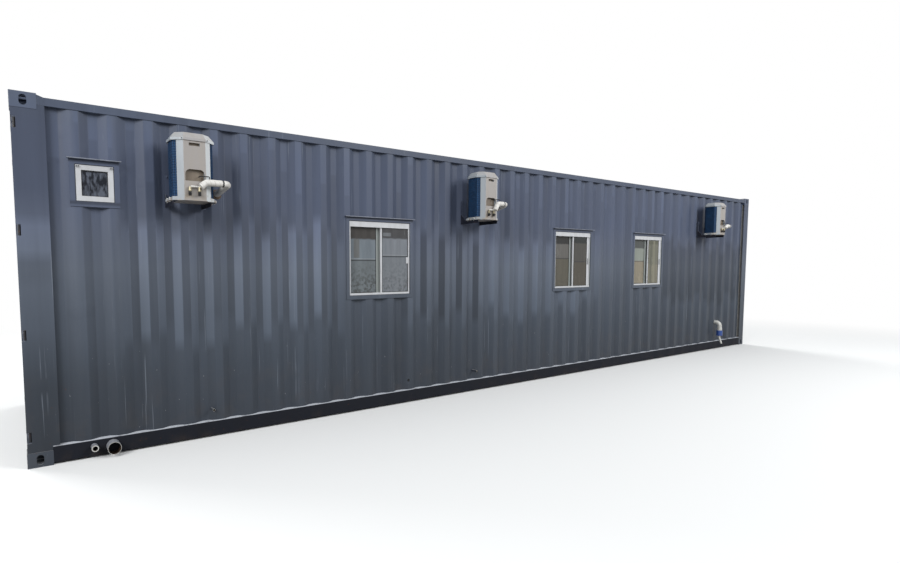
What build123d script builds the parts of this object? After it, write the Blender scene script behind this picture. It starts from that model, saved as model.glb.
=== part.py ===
from build123d import *
import math
import os

# A forty foot high cube shipping container made into a cabin: corrugated walls, sliding windows,
# a small tilting window, three top blowing condensing units on wall brackets, and drain pipes.
# Millimetres. X runs along the container, -Y is the side with the condensing units, Z is up, and
# the origin is on the ground plane under the middle of the container.

# Overall size
length = 12192.0
width = 2438.0
height = 2896.0

# Corner castings
casting_x = 178.0
casting_y = 162.0
casting_z = 118.0
casting_plate = 28.0
casting_wall = 20.0
casting_round = 8.0
slot_length = 124.0
slot_width = 63.5
slot_from_end = 103.5
slot_from_side = 89.5
hand_hole_length = 79.5
hand_hole_width = 51.0

# Side rails
rail_inset = 2.0
sill_bottom = 17.0
sill_height = 138.0
sill_flange = 48.0
sill_thick = 4.5
top_rail_size = 60.0
top_rail_thick = 3.0
top_rail_drop = 26.0

# Posts
door_post_side = 225.0
door_post_end = 113.0
front_post_side = 175.0
front_post_end = 110.0
post_thick = 6.0
post_inset = 4.5
post_core_depth = 75.0
hinge_count = 4
hinge_notch_height = 87.0
hinge_notch_depth = 33.0
hinge_notch_from_foot = 125.0
hinge_notch_from_head = 112.0

# Corrugated side walls
sheet = 2.0
wall_inset = 8.0
wave_pitch = 278.0
wave_outer_flat = 72.0
wave_inner_flat = 70.0
wave_depth = 36.0
first_recess = 280.0

# Corrugated end wall
end_pitch = 250.0
end_outer_flat = 110.0
end_inner_flat = 104.0
end_depth = 45.0
end_first_recess = 60.0
end_sill_rise = 42.0
end_head_drop = 2.0

# Roof sheet
roof_pitch = 209.0
roof_crest_flat = 91.0
roof_slope = 22.0
roof_crest_height = 16.0
roof_crest_from_edge = 62.0
roof_plain_end = 60.0
roof_gusset_length = 46.0
roof_gusset_height = 16.0
roof_gusset_width = 90.0
roof_from_rail_face = 1.0

# Floor
beam_height = 122.0
beam_flange = 45.0
beam_thick = 4.5
beam_count = 29
beam_from_threshold = 60.0
beam_from_casting = 10.0
floor_from_doors = 6.0
floor_thick = 28.0

# Lining
lining_thick = 50.0
lining_from_doors = 30.0
ceiling_below_casting = 26.0
ceiling_thick = 20.0

# Sliding windows, and the small tilting window; places are from the door end of the container
window_centres = [3347.0, 6705.0, 8655.0]
window_width = 804.0
window_height = 800.0
window_bottom = 1264.0
small_centre = 556.0
small_width = 286.0
small_height = 296.0
small_bottom = 2100.0
trim_face = 40.0
trim_proud = 6.0
hood_reach = 26.0
hood_thick = 3.0
hood_side = 14.0
frame_setback = 10.0
frame_depth = 70.0
jamb_face = 18.0
head_face = 62.0
threshold_face = 26.0
glass_thick = 8.0
track_gap = 26.0
pane_overlap = 46.0
stile_face = 20.0
stile_depth = 14.0
rear_stile_face = 45.0
pull_stile_faces = [0.0, 48.0, 48.0]
pull_slot_width = 14.0
pull_slot_height = 80.0
pull_slot_depth = 6.0
latch_height = 70.0
latch_width = 26.0
latch_thick = 9.0
small_frame_face = 46.0
small_frame_depth = 40.0
small_glass_thick = 5.0
small_frame_setback = 2.0
catch_width = 24.0
catch_height = 16.0
catch_thick = 8.0
catch_from_corner = 10.0

# Entrance door in the far wall, its place from the door end of the container
entrance_centre = 5010.0
entrance_width = 900.0
entrance_height = 2080.0
entrance_jamb = 45.0
entrance_leaf_thick = 40.0
entrance_gap = 3.0
entrance_setback = 20.0
lever_height = 1000.0
lever_from_edge = 60.0
lever_length = 120.0
lever_radius = 9.0
lever_stand_off = 45.0
lever_plate_width = 36.0
lever_plate_height = 200.0
lever_plate_thick = 6.0
door_panel_margin = 130.0
door_panels = [(0.10, 0.42), (0.54, 0.92)]
door_panel_depth = 6.0
door_stop = 14.0

# Cargo doors
header_height = 122.0
header_depth = 100.0
header_from_top = 10.0
threshold_height = 120.0
threshold_depth = 150.0
leaf_thick = 50.0
leaf_setback = 42.0
leaf_gap = 12.0
leaf_frame = 60.0
leaf_corrugations = 3
leaf_corrugation_height = 300.0
leaf_corrugation_depth = 32.0
rod_radius = 17.0
rod_from_leaf = 20.0
rod_places = [0.24, 0.76]
rod_onto_frame = 40.0
guide_places = [60.0, 330.0]
guide_width = 64.0
guide_height = 32.0
cam_height = 62.0
cam_width = 74.0
handle_height = 1020.0
handle_length = 420.0
handle_stagger = 120.0
handle_thick = 12.0
handle_width = 32.0
handle_hub = 46.0
hub_back = 3.0
guide_lip = 4.0
hinge_blade_height = 52.0
hinge_blade_thick = 5.0
hinge_blade_onto_leaf = 170.0
hinge_pin_radius = 11.0
hinge_pin_length = 76.0
hinge_from_leaf_end = 40.0
hinge_pin_clear = 1.0
hinge_blade_clear = 3.0

# Condensing units; places are from the door end of the container
unit_centres = [1268.0, 4700.0, 10405.0]
unit_bottom = 2124.0
unit_width = 344.0
unit_depth = 240.0
unit_from_wall = 89.0
unit_corner = 50.0
chamfer_width = 82.0
chamfer_depth = 64.0
pan_height = 32.0
coil_height = 456.0
coil_thick = 24.0
coil_inset = 5.0
cheek_width = 48.0
panel_thick = 3.0
grip_width = 90.0
grip_height = 24.0
grip_from_top = 18.0
grip_depth = 24.0
pocket_width = 160.0
pocket_height = 95.0
pocket_bottom = 160.0
pocket_radius = 42.0
pocket_depth = 30.0
cover_height = 70.0
cover_lip = 20.0
cover_overhang = 8.0
cover_shell = 4.0
cover_taper = 38.0
cover_round = 12.0
cover_step = 2.0
fan_opening = 76.0
guard_rise = 8.0
guard_wire = 4.0
guard_rings = [16.0, 32.0, 48.0, 63.0]
guard_spokes = 6
guard_into_cover = 2.0
fan_radius = 70.0
fan_hub_radius = 26.0
fan_hub_height = 34.0
fan_below_cover = 4.0
fan_blades = 4
blade_thick = 4.0
blade_pitch = 22.0
blade_share = 0.42
motor_radius = 36.0
motor_height = 70.0
motor_arm_width = 28.0
motor_arm_thick = 10.0
foot_length = 46.0
foot_reach = 26.0
foot_height = 20.0
foot_hole = 6.5
foot_round = 8.0
foot_root = 2.0
foot_from_back = 46.0
foot_from_front = 98.0
bracket_spread = 310.0
bracket_rise = 240.0
bracket_face = 38.0
bracket_thick = 4.0
bracket_short = 34.0
gusset = 80.0
packer = 14.0

# Pipes
bundle_radius = 28.0
bundle_bend = 42.0
bundle_sides = [100.0, 54.0, 46.0]
bundle_heights = [150.0, 188.0, 152.0]
bundle_stand_off = 30.0
bundle_wall_height = 112.0
bundle_rise_run = 45.0
bundle_last_run = 70.0
valve_places = [-49.0, 29.0]
valve_radius = 10.0
valve_low = 42.0
valve_high = 88.0
valve_stand_off = 16.0
valve_boss_radius = 8.0
branch_radius = 8.0
branch_height = 112.0
pipe_gap = 0.3
cable_radius = 4.0
cable_from_middle = 36.0
cable_over_bundle = 22.0
cable_stand_off = 14.0
cable_bend = 10.0
drain_large_radius = 52.5
drain_large_place = 611.0
drain_large_height = 80.0
drain_small_radius = 27.0
drain_small_place = 470.0
drain_small_height = 96.0
drain_wall = 3.2
drain_small_wall = 8.0
drain_reach_large = 95.0
drain_reach_small = 70.0
stub_places = [1456.0, 4770.0]
stub_height = 262.0
stub_radius = 12.5
stub_wall = 2.0
stub_reach = 40.0
vent_place = 3730.0
vent_radius = 14.0
inlet_place = 11000.0
inlet_height = 515.0
inlet_radius = 34.0
inlet_bell = 41.0
inlet_bell_height = 46.0
inlet_out = 92.0
inlet_drop = 150.0
coupling_radius = 50.0
coupling_height = 98.0
tail_radius = 16.0
tail_drop = 150.0
tail_lean = 40.0
tail_socket = 10.0
tail_straight = 30.0

# A cut runs this far past the faces that it opens
past = 1.0
past_wall = 20.0

# Derived places
half_l = length / 2
half_w = width / 2
rail_face = half_w - rail_inset
sill_top = sill_bottom + sill_height
rail_top = height - top_rail_drop
wall_top = rail_top - top_rail_size
wall_face = half_w - wall_inset
wall_recess = wall_face - wave_depth
lining_outer = wall_recess - sheet
lining_inner = lining_outer - lining_thick
beam_top = sill_bottom + beam_height
floor_top = beam_top + floor_thick
ceiling_z = height - casting_z - ceiling_below_casting
wall_start = -half_l + post_inset + door_post_side
wall_end = half_l - post_inset - front_post_side
trim_y = wall_face + trim_proud
front_wall_face = half_l - wall_inset
front_lining_outer = front_wall_face - end_depth - sheet
end_rail_inner = half_l - wall_inset + rail_inset - top_rail_size
end_sill_top = casting_z + end_sill_rise
end_head_bottom = height - casting_z - end_head_drop
door_face = -half_l + leaf_setback
door_back = door_face + leaf_thick
header_top = height - header_from_top
header_bottom = header_top - header_height
threshold_top = sill_bottom + threshold_height
post_bottom = casting_z
post_top = height - casting_z


def block(x0, x1, y0, y1, z0, z1):
    """A box between two corners."""
    middle = ((x0 + x1) / 2, (y0 + y1) / 2, (z0 + z1) / 2)
    return Pos(*middle) * Box(abs(x1 - x0), abs(y1 - y0), abs(z1 - z0))


def prism(points, z0, z1):
    """An upright prism on a closed outline in the XY plane."""
    return Pos(0, 0, z0) * extrude(make_face(Polyline(*points, close=True)), z1 - z0)


def along_y(outline, y0, y1):
    """Extrudes a sketch drawn in X and Z from y0 to y1."""
    plane = Plane(origin=(0, y0, 0), x_dir=(1, 0, 0), z_dir=(0, -1, 0))
    return extrude(plane * outline, -(y1 - y0))


def along_x(outline, x0, x1):
    """Extrudes a sketch drawn in Y and Z from x0 to x1."""
    plane = Plane(origin=(x0, 0, 0), x_dir=(0, 1, 0), z_dir=(1, 0, 0))
    return extrude(plane * outline, x1 - x0)


def ring_y(x, z, outer_w, outer_h, inner_w, inner_h, y0, y1):
    """A rectangular frame that stands in a side wall; x and z are its centre."""
    outer = block(x - outer_w / 2, x + outer_w / 2, y0, y1, z - outer_h / 2, z + outer_h / 2)
    inner = block(x - inner_w / 2, x + inner_w / 2, y0 - past, y1 + past, z - inner_h / 2, z + inner_h / 2)
    return outer - inner


def far(shape):
    """The same piece on the far side of the container."""
    return mirror(shape, about=Plane.XZ)


def place(from_door_end):
    """X of a place measured from the door end."""
    return -half_l + from_door_end


def corrugated_outline(start, end, first, pitch, outer_flat, inner_flat, face, depth):
    """Plan outline of a folded sheet along X. It starts and ends on the recessed flats.
    face is the coordinate of the outer flats, and depth leads away from the outside."""
    slope = (pitch - outer_flat - inner_flat) / 2
    shift = sheet * math.tan(math.atan2(abs(depth), slope) / 2)
    side = math.copysign(1.0, depth)
    outside = [(start, face + depth)]
    inside = [(start, face + depth + side * sheet)]
    recess = first
    while recess + pitch - inner_flat / 2 <= end:
        leave = recess + inner_flat / 2
        back = recess + pitch - inner_flat / 2
        outside.append((leave, face + depth))
        outside.append((leave + slope, face))
        outside.append((back - slope, face))
        outside.append((back, face + depth))
        inside.append((leave + shift, face + depth + side * sheet))
        inside.append((leave + slope + shift, face + side * sheet))
        inside.append((back - slope - shift, face + side * sheet))
        inside.append((back - shift, face + depth + side * sheet))
        recess += pitch
    outside.append((end, face + depth))
    inside.append((end, face + depth + side * sheet))
    return outside + inside[::-1]


def casting(sx, sy, top):
    """One corner casting with its slot and hand holes, at a corner given by the signs sx and sy."""
    x0, x1 = half_l - casting_x, half_l
    y0, y1 = half_w - casting_y, half_w
    body = block(x0, x1, y0, y1, 0, casting_z)
    body = fillet(body.edges().filter_by(Axis.Z).sort_by(Axis.X)[-2:], casting_round)
    body -= block(x0 + casting_wall, x1 - casting_wall, y0 + casting_wall, y1 - casting_wall,
                  casting_plate, casting_z - casting_wall)
    slot = SlotOverall(slot_length, slot_width)
    hole = SlotOverall(hand_hole_length, hand_hole_width, rotation=90)
    slot_cut = extrude(slot, casting_plate + 2 * past)
    body -= Pos(half_l - slot_from_end, half_w - slot_from_side, -past) * slot_cut
    side_hole = Pos(half_l - casting_x / 2, casting_z / 2) * hole
    body -= along_y(side_hole, half_w - casting_wall - past, half_w + past)
    end_hole = Pos(half_w - casting_y / 2, casting_z / 2) * hole
    body -= along_x(end_hole, half_l - casting_wall - past, half_l + past)
    if top:
        body = Pos(0, 0, height) * mirror(body, about=Plane.XY)
    if sx < 0:
        body = mirror(body, about=Plane.YZ)
    if sy < 0:
        body = mirror(body, about=Plane.XZ)
    return body


def castings(top):
    return Compound(children=[casting(sx, sy, top) for sx in (-1, 1) for sy in (-1, 1)])


def hinge_heights():
    """Middle heights of the hinge notches in a door post."""
    low = post_bottom + hinge_notch_from_foot
    high = post_top - hinge_notch_from_head
    return [low + (high - low) * i / (hinge_count - 1) for i in range(hinge_count)]


def door_post():
    """The near post at the door end: an outer pressing with a flat flank, and a channel inside."""
    x0 = -half_l + post_inset
    y0 = -half_w + rail_inset
    flank = block(x0, x0 + door_post_side, y0, y0 + post_thick, post_bottom, post_top)
    face = block(x0, x0 + post_thick, y0, y0 + door_post_end, post_bottom, post_top)
    web_x = x0 + post_core_depth
    web = block(web_x, web_x + post_thick, y0 + post_thick, door_post_inner_y(), post_bottom, post_top)
    post = flank + face + web
    post += block(-half_l + casting_x, x0 + door_post_side, y0, y0 + post_thick, post_top, wall_top)
    post -= block(-half_l + casting_x, x0 + door_post_side + past, y0 - past, y0 + sill_flange, 0, sill_top)
    for z in hinge_heights():
        post -= block(x0 - past, x0 + hinge_notch_depth, y0 - past, y0 + hinge_notch_depth,
                      z - hinge_notch_height / 2, z + hinge_notch_height / 2)
    return post


def door_post_inner_y():
    return -half_w + rail_inset + door_post_end


def front_post():
    """The near post at the closed end: one folded section."""
    x1 = half_l - post_inset
    y0 = -half_w + rail_inset
    flank = block(x1 - front_post_side, x1, y0, y0 + post_thick, post_bottom, post_top)
    face = block(x1 - post_thick, x1, y0, y0 + front_post_end, post_bottom, post_top)
    post = flank + face
    return post - block(x1 - front_post_side - past, half_l - casting_x, y0 - past, y0 + sill_flange,
                        0, sill_top)


def bottom_rail():
    """Near bottom side rail: a channel with its web outwards."""
    y0 = -rail_face
    x0 = -half_l + casting_x
    x1 = half_l - casting_x
    web = block(x0, x1, y0, y0 + sill_thick, sill_bottom, sill_top)
    upper = block(x0, x1, y0, y0 + sill_flange, sill_top - sill_thick, sill_top)
    lower = block(x0, x1, y0, y0 + sill_flange, sill_bottom, sill_bottom + sill_thick)
    return web + upper + lower


def top_rail():
    """Near top side rail: a square tube between the castings."""
    x0 = -half_l + casting_x
    x1 = half_l - casting_x
    y0 = -rail_face
    y1 = y0 + top_rail_size
    tube = block(x0, x1, y0, y1, wall_top, rail_top)
    t = top_rail_thick
    return tube - block(x0 - past, x1 + past, y0 + t, y1 - t, wall_top + t, rail_top - t)


def opening_cut(x, z, w, h):
    """What a window or door takes out of the near wall and its lining."""
    return block(x - w / 2, x + w / 2, -half_w - past_wall, -lining_inner + past_wall,
                 z - h / 2, z + h / 2)


def window_cuts():
    """Openings for the sliding windows on either side."""
    w = window_width + 2 * trim_face
    h = window_height + 2 * trim_face
    z = window_bottom + window_height / 2
    return [opening_cut(place(c), z, w, h) for c in window_centres]


def small_cut():
    w = small_width + 2 * trim_face
    h = small_height + 2 * trim_face
    return opening_cut(place(small_centre), small_bottom + small_height / 2, w, h)


def entrance_cut():
    """The entrance door's opening, as it would be cut in the near wall."""
    w = entrance_width + 2 * entrance_jamb
    x = place(entrance_centre)
    z1 = floor_top + entrance_height + entrance_jamb
    return block(x - w / 2, x + w / 2, -half_w - past_wall, -lining_inner + past_wall, floor_top, z1)


def pipe_holes():
    """Round holes in the near sheet, for the pipes that pass through it and an open one for air."""
    y0, y1 = -half_w, -lining_outer
    stub_hole = Circle(stub_radius + pipe_gap)
    holes = [along_y(Pos(place(p), stub_height) * stub_hole, y0, y1) for p in stub_places]
    inlet_hole = Circle(inlet_radius + pipe_gap)
    holes.append(along_y(Pos(place(inlet_place), inlet_height) * inlet_hole, y0, y1))
    holes.append(along_y(Pos(place(vent_place), stub_height) * Circle(vent_radius), y0, y1))
    for i in range(len(unit_centres)):
        x, z = bundle_end(i)
        holes.append(along_y(Pos(x, z) * Circle(bundle_radius + pipe_gap), y0, y1))
    return holes


def bundle_end(i):
    """X and Z where a condensing unit's pipe bundle enters the wall."""
    x, y, z = unit_origin(i)
    return x + unit_width / 2 + bundle_sides[i], z + bundle_wall_height


def side_sheet():
    """The near corrugated wall without openings."""
    points = corrugated_outline(wall_start, wall_end, place(first_recess), wave_pitch,
                                wave_outer_flat, wave_inner_flat, -wall_face, wave_depth)
    return prism(points, sill_top, wall_top)


def lining_board():
    """The near wall's lining without openings."""
    x0 = door_back + lining_from_doors
    return block(x0, front_lining_outer - lining_thick, -lining_outer, -lining_inner, floor_top, ceiling_z)


def end_wall():
    """The corrugated wall at the closed end, between the front posts."""
    y0 = -half_w + rail_inset + front_post_end
    points = corrugated_outline(y0, -y0, y0 + end_first_recess, end_pitch, end_outer_flat, end_inner_flat,
                                -front_wall_face, end_depth)
    turned = [(-p[1], p[0]) for p in points]
    return prism(turned, end_sill_top, end_head_bottom)


def end_rail_top():
    y = half_w - casting_y
    x1 = end_rail_inner + top_rail_size
    t = top_rail_thick
    z0 = end_head_bottom
    tube = block(end_rail_inner, x1, -y, y, z0, rail_top)
    return tube - block(end_rail_inner + t, x1 - t, -y - past, y + past, z0 + t, rail_top - t)


def end_rail_bottom():
    y = half_w - casting_y
    x1 = end_rail_inner + top_rail_size
    z1 = end_sill_top
    t = sill_thick
    tube = block(end_rail_inner, x1, -y, y, sill_bottom, z1)
    return tube - block(end_rail_inner + t, x1 - t, -y - past, y + past, sill_bottom + t, z1 - t)


def roof():
    """Roof sheet with raised cross corrugations that stop short of the side rails."""
    x0 = -half_l + casting_x
    x1 = half_l - casting_x
    y0 = half_w - roof_crest_from_edge
    count = int((x1 - x0 - 2 * roof_plain_end) // roof_pitch)
    first = -(count - 1) * roof_pitch / 2
    edge = rail_face - roof_from_rail_face
    plate = block(x0, x1, -edge, edge, rail_top, rail_top + sheet)
    foot = roof_crest_flat / 2 + roof_slope
    shift = sheet * math.tan(math.atan2(roof_crest_height, roof_slope) / 2)
    crests = []
    hollows = []
    for i in range(count):
        x = first + i * roof_pitch
        top = rail_top + sheet + roof_crest_height
        crests.append(Polyline((x - foot, rail_top + sheet), (x - roof_crest_flat / 2, top),
                               (x + roof_crest_flat / 2, top), (x + foot, rail_top + sheet), close=True))
        low = rail_top - past
        in_foot = foot - shift
        in_flat = roof_crest_flat / 2 - shift
        hollows.append(Polyline((x - in_foot, low), (x - in_foot, rail_top), (x - in_flat, top - sheet),
                                (x + in_flat, top - sheet), (x + in_foot, rail_top), (x + in_foot, low),
                                close=True))
    bumps = along_y(Sketch() + [make_face(c) for c in crests], -y0, y0)
    holes = along_y(Sketch() + [make_face(h) for h in hollows], -y0 + sheet, y0 - sheet)
    sheet_top = rail_top + sheet
    wedge = make_face(Polyline((x0, sheet_top), (x0 + roof_gusset_length, sheet_top),
                               (x0, sheet_top + roof_gusset_height), close=True))
    corner = along_y(wedge, -edge, -edge + roof_gusset_width)
    corners = [corner, far(corner), mirror(corner, about=Plane.YZ), far(mirror(corner, about=Plane.YZ))]
    return plate + bumps - holes + corners


def floor_beams():
    """Cross beams under the floor, channels between the bottom rails."""
    y = rail_face - sill_thick
    beams = []
    x0 = door_face + threshold_depth + beam_from_threshold
    x1 = half_l - casting_x - beam_flange - beam_from_casting
    for i in range(beam_count):
        x = x0 + (x1 - x0) * i / (beam_count - 1)
        z0 = sill_bottom + sill_thick
        web = block(x, x + beam_thick, -y, y, z0, beam_top)
        upper = block(x, x + beam_flange, -y, y, beam_top - beam_thick, beam_top)
        lower = block(x, x + beam_flange, -y, y, z0, z0 + beam_thick)
        beams.append(web + upper + lower)
    return Compound(children=beams)


def floor_board():
    y = rail_face - sill_flange
    return block(door_back + floor_from_doors, end_rail_inner, -y, y, beam_top, floor_top)


def window_trim(x, z, w, h):
    """Steel surround of a window: a boxed ring through the wall with a small hood over it."""
    y0 = -trim_y
    ring = ring_y(x, z, w + 2 * trim_face, h + 2 * trim_face, w, h, y0, -lining_inner)
    top = z + h / 2 + trim_face
    half = w / 2 + trim_face + hood_side
    hood = block(x - half, x + half, y0 - hood_reach, -wall_face, top, top + hood_thick)
    return ring + hood


def sliding_frame(x, z):
    """White frame with its deep head track, jambs and sill track."""
    y0 = -trim_y + frame_setback
    y1 = y0 + frame_depth
    outer = block(x - window_width / 2, x + window_width / 2, y0, y1,
                  z - window_height / 2, z + window_height / 2)
    inner = block(x - window_width / 2 + jamb_face, x + window_width / 2 - jamb_face, y0 - past, y1 + past,
                  z - window_height / 2 + threshold_face, z + window_height / 2 - head_face)
    return outer - inner


def panes(x, z, pull_face):
    """The fixed left pane behind, and the sliding right one in front of it; with their stiles.
    pull_face is the width of the sliding pane's outer stile, or 0 where it has a latch instead."""
    y0 = -trim_y + frame_setback
    front = y0 + (frame_depth - 2 * glass_thick - track_gap) / 2
    back = front + glass_thick + track_gap
    low = z - window_height / 2 + threshold_face
    top = z + window_height / 2 - head_face
    left = x - window_width / 2 + jamb_face
    right = x + window_width / 2 - jamb_face
    middle = (left + right) / 2
    stile_x = middle - pane_overlap / 2 + stile_face / 2
    proud = (stile_depth - glass_thick) / 2
    rear = block(left, stile_x - rear_stile_face, back, back + glass_thick, low, top)
    fore = block(stile_x, right - pull_face, front, front + glass_thick, low, top)
    stiles = block(stile_x - stile_face, stile_x, front - proud, front + glass_thick + proud, low, top)
    stiles += block(stile_x - rear_stile_face, stile_x, back - proud, back + glass_thick + proud, low, top)
    catch_z = (low + top) / 2
    if pull_face:
        stiles += block(right - pull_face, right, front - proud, front + glass_thick + proud, low, top)
        slot_x = right - pull_face / 2
        stiles -= block(slot_x - pull_slot_width / 2, slot_x + pull_slot_width / 2, front - proud - past,
                        front - proud + pull_slot_depth, catch_z - pull_slot_height / 2,
                        catch_z + pull_slot_height / 2)
    else:
        stiles += block(right - latch_width, right, front - latch_thick, front,
                        catch_z - latch_height / 2, catch_z + latch_height / 2)
    return rear, fore, stiles


def small_frame(x, z):
    """Frame of the tilting window with a catch in each upper corner."""
    y0 = -trim_y + small_frame_setback
    frame = ring_y(x, z, small_width, small_height, small_width - 2 * small_frame_face,
                   small_height - 2 * small_frame_face, y0, y0 + small_frame_depth)
    top = z + small_height / 2 - catch_from_corner
    for side in (-1, 1):
        edge = x + side * (small_width / 2 - catch_from_corner)
        frame += block(edge, edge - side * catch_width, y0 - catch_thick, y0, top - catch_height, top)
    return frame


def small_pane(x, z):
    y0 = -trim_y + small_frame_setback + small_frame_depth / 2
    half_x = small_width / 2 - small_frame_face
    half_z = small_height / 2 - small_frame_face
    return block(x - half_x, x + half_x, y0, y0 + small_glass_thick, z - half_z, z + half_z)


def entrance_frame():
    """Jambs and head of the entrance door, drawn in the near wall."""
    x = place(entrance_centre)
    w = entrance_width
    z1 = floor_top + entrance_height
    outer = block(x - w / 2 - entrance_jamb, x + w / 2 + entrance_jamb, -trim_y, -lining_inner,
                  floor_top, z1 + entrance_jamb)
    hole = block(x - w / 2, x + w / 2, -trim_y - past, -lining_inner + past, floor_top - past, z1)
    stop_y = -trim_y + entrance_setback + entrance_leaf_thick
    stop = block(x - w / 2, x + w / 2, stop_y, -lining_inner, floor_top, z1)
    stop_hole = block(x - w / 2 + door_stop, x + w / 2 - door_stop, -trim_y, -lining_inner + past,
                      floor_top - past, z1 - door_stop)
    return outer - hole + (stop - stop_hole)


def entrance_leaf():
    """Entrance door leaf with two sunk panels, a handle plate and a lever."""
    x = place(entrance_centre)
    half = entrance_width / 2 - entrance_gap
    y0 = -trim_y + entrance_setback
    z0 = floor_top + entrance_gap
    z1 = floor_top + entrance_height - entrance_gap
    leaf = block(x - half, x + half, y0, y0 + entrance_leaf_thick - pipe_gap, z0, z1)
    panel_half = half - door_panel_margin
    for low, high in door_panels:
        leaf -= block(x - panel_half, x + panel_half, y0 - past, y0 + door_panel_depth,
                      z0 + (z1 - z0) * low, z0 + (z1 - z0) * high)
    lever_x = x + half - lever_from_edge
    lever_z = floor_top + lever_height
    leaf += block(lever_x - lever_plate_width / 2, lever_x + lever_plate_width / 2, y0 - lever_plate_thick,
                  y0, lever_z - lever_plate_height / 2, lever_z + lever_plate_height / 2)
    lever = [(lever_x, y0, lever_z), (lever_x, y0 - lever_stand_off, lever_z),
             (lever_x - lever_length, y0 - lever_stand_off, lever_z)]
    return leaf + round_run(lever, lever_radius, 2 * lever_radius)


def cargo_header():
    """Door header between the top castings at the door end."""
    x0 = door_face
    y = half_w - casting_y
    z1 = header_top
    z0 = header_bottom
    t = top_rail_thick
    tube = block(x0, x0 + header_depth, -y, y, z0, z1)
    return tube - block(x0 + t, x0 + header_depth - t, -y - past, y + past, z0 + t, z1 - t)


def cargo_threshold():
    x0 = door_face
    y = half_w - casting_y
    t = sill_thick
    tube = block(x0, x0 + threshold_depth, -y, y, sill_bottom, threshold_top)
    return tube - block(x0 + t, x0 + threshold_depth - t, -y - past, y + past,
                        sill_bottom + t, threshold_top - t)


def leaf_bounds():
    """Edges of the near cargo door leaf: two Y values and two Z values."""
    y0 = door_post_inner_y() + leaf_gap
    y1 = -leaf_gap / 2
    z0 = threshold_top + leaf_gap
    z1 = header_bottom - leaf_gap
    return y0, y1, z0, z1


def cargo_leaf():
    """Near cargo door leaf: a tube frame round a sheet with level corrugations."""
    y0, y1, z0, z1 = leaf_bounds()
    leaf = block(door_face, door_back, y0, y1, z0, z1)
    inner_y0, inner_y1 = y0 + leaf_frame, y1 - leaf_frame
    inner_z0, inner_z1 = z0 + leaf_frame, z1 - leaf_frame
    leaf -= block(door_face - past, door_face + leaf_corrugation_depth,
                  inner_y0, inner_y1, inner_z0, inner_z1)
    leaf -= block(door_face + leaf_corrugation_depth + sheet, door_back + past,
                  inner_y0, inner_y1, inner_z0, inner_z1)
    span = (inner_z1 - inner_z0) / leaf_corrugations
    for i in range(leaf_corrugations):
        zc = inner_z0 + span * (i + 0.5)
        h = leaf_corrugation_height / 2
        d = leaf_corrugation_depth
        crest = door_face + sheet
        rib = Polyline((door_face + d, zc - h - d), (crest, zc - h), (crest, zc + h),
                       (door_face + d, zc + h + d), close=True)
        leaf += along_y(make_face(rib), inner_y0, inner_y1)
    return leaf


def lock_gear():
    """Two locking rods on the near leaf with their cams, guides, hubs and handles."""
    y0, y1, z0, z1 = leaf_bounds()
    x = door_face - rod_from_leaf
    rods = []
    for i, share in enumerate(rod_places):
        y = y0 + (y1 - y0) * share
        low = threshold_top - rod_onto_frame
        high = header_bottom + rod_onto_frame
        rod = Pos(x, y, low) * Cylinder(rod_radius, high - low, align=(Align.CENTER, Align.CENTER, Align.MIN))
        for d in guide_places:
            for zc in (z0 + d, z1 - d):
                rod += block(x - rod_radius - guide_lip, door_face, y - guide_width / 2, y + guide_width / 2,
                             zc - guide_height / 2, zc + guide_height / 2)
        for zc in (low + cam_height / 2, high - cam_height / 2):
            rod += block(x - rod_radius, door_face, y - cam_width / 2, y + cam_width / 2,
                         zc - cam_height / 2, zc + cam_height / 2)
        zc = z0 + handle_height - handle_stagger * i
        toward = 1 if i == 0 else -1
        hub = block(x - rod_radius, x + rod_radius - hub_back, y - handle_hub / 2, y + handle_hub / 2,
                    zc - handle_hub / 2, zc + handle_hub / 2)
        arm = block(x - rod_radius, x - rod_radius + handle_thick, y, y + toward * handle_length,
                    zc - handle_width / 2, zc + handle_width / 2)
        rods.append(rod + hub + arm)
    return rods


def cargo_hinges():
    """Hinge blades from the near leaf to the notches in the door post, with their pins."""
    y0, y1, z0, z1 = leaf_bounds()
    found = []
    pin_y = -half_w + rail_inset + hinge_notch_depth - hinge_pin_radius - hinge_pin_clear
    x = door_face - hinge_pin_radius - hinge_blade_clear
    for z in hinge_heights():
        z = min(max(z, z0 + hinge_from_leaf_end), z1 - hinge_from_leaf_end)
        blade = block(x - hinge_blade_thick, door_face, pin_y, y0 + hinge_blade_onto_leaf,
                      z - hinge_blade_height / 2, z + hinge_blade_height / 2)
        blade += Pos(x, pin_y, z) * Cylinder(hinge_pin_radius, hinge_pin_length)
        found.append(blade)
    return found


def unit_plan(grow=0.0):
    """Plan of a condensing unit: flat front, wide chamfers and round corners at the back."""
    half = unit_width / 2
    front = -unit_depth / 2
    back = unit_depth / 2
    flat = half - chamfer_width
    points = [(-flat, front), (flat, front), (half, front + chamfer_depth), (half, back),
              (-half, back), (-half, front + chamfer_depth)]
    face = make_face(Polyline(*points, close=True))
    face = fillet(face.vertices().sort_by(Axis.Y)[-2:], unit_corner)
    return offset(face, grow, kind=Kind.INTERSECTION) if grow else face


def unit_origin(i):
    """Centre of a condensing unit in plan and the underside of its base pan."""
    return (place(unit_centres[i]), -wall_face - unit_from_wall - unit_depth / 2, unit_bottom)


def panel_outline():
    """Outer line of the front panel: the flat and a cheek on each chamfer."""
    flat = unit_width / 2 - chamfer_width
    front = -unit_depth / 2
    cheek_y = front + cheek_width * chamfer_depth / chamfer_width
    return [(-flat - cheek_width, cheek_y), (-flat, front), (flat, front), (flat + cheek_width, cheek_y)]


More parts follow.
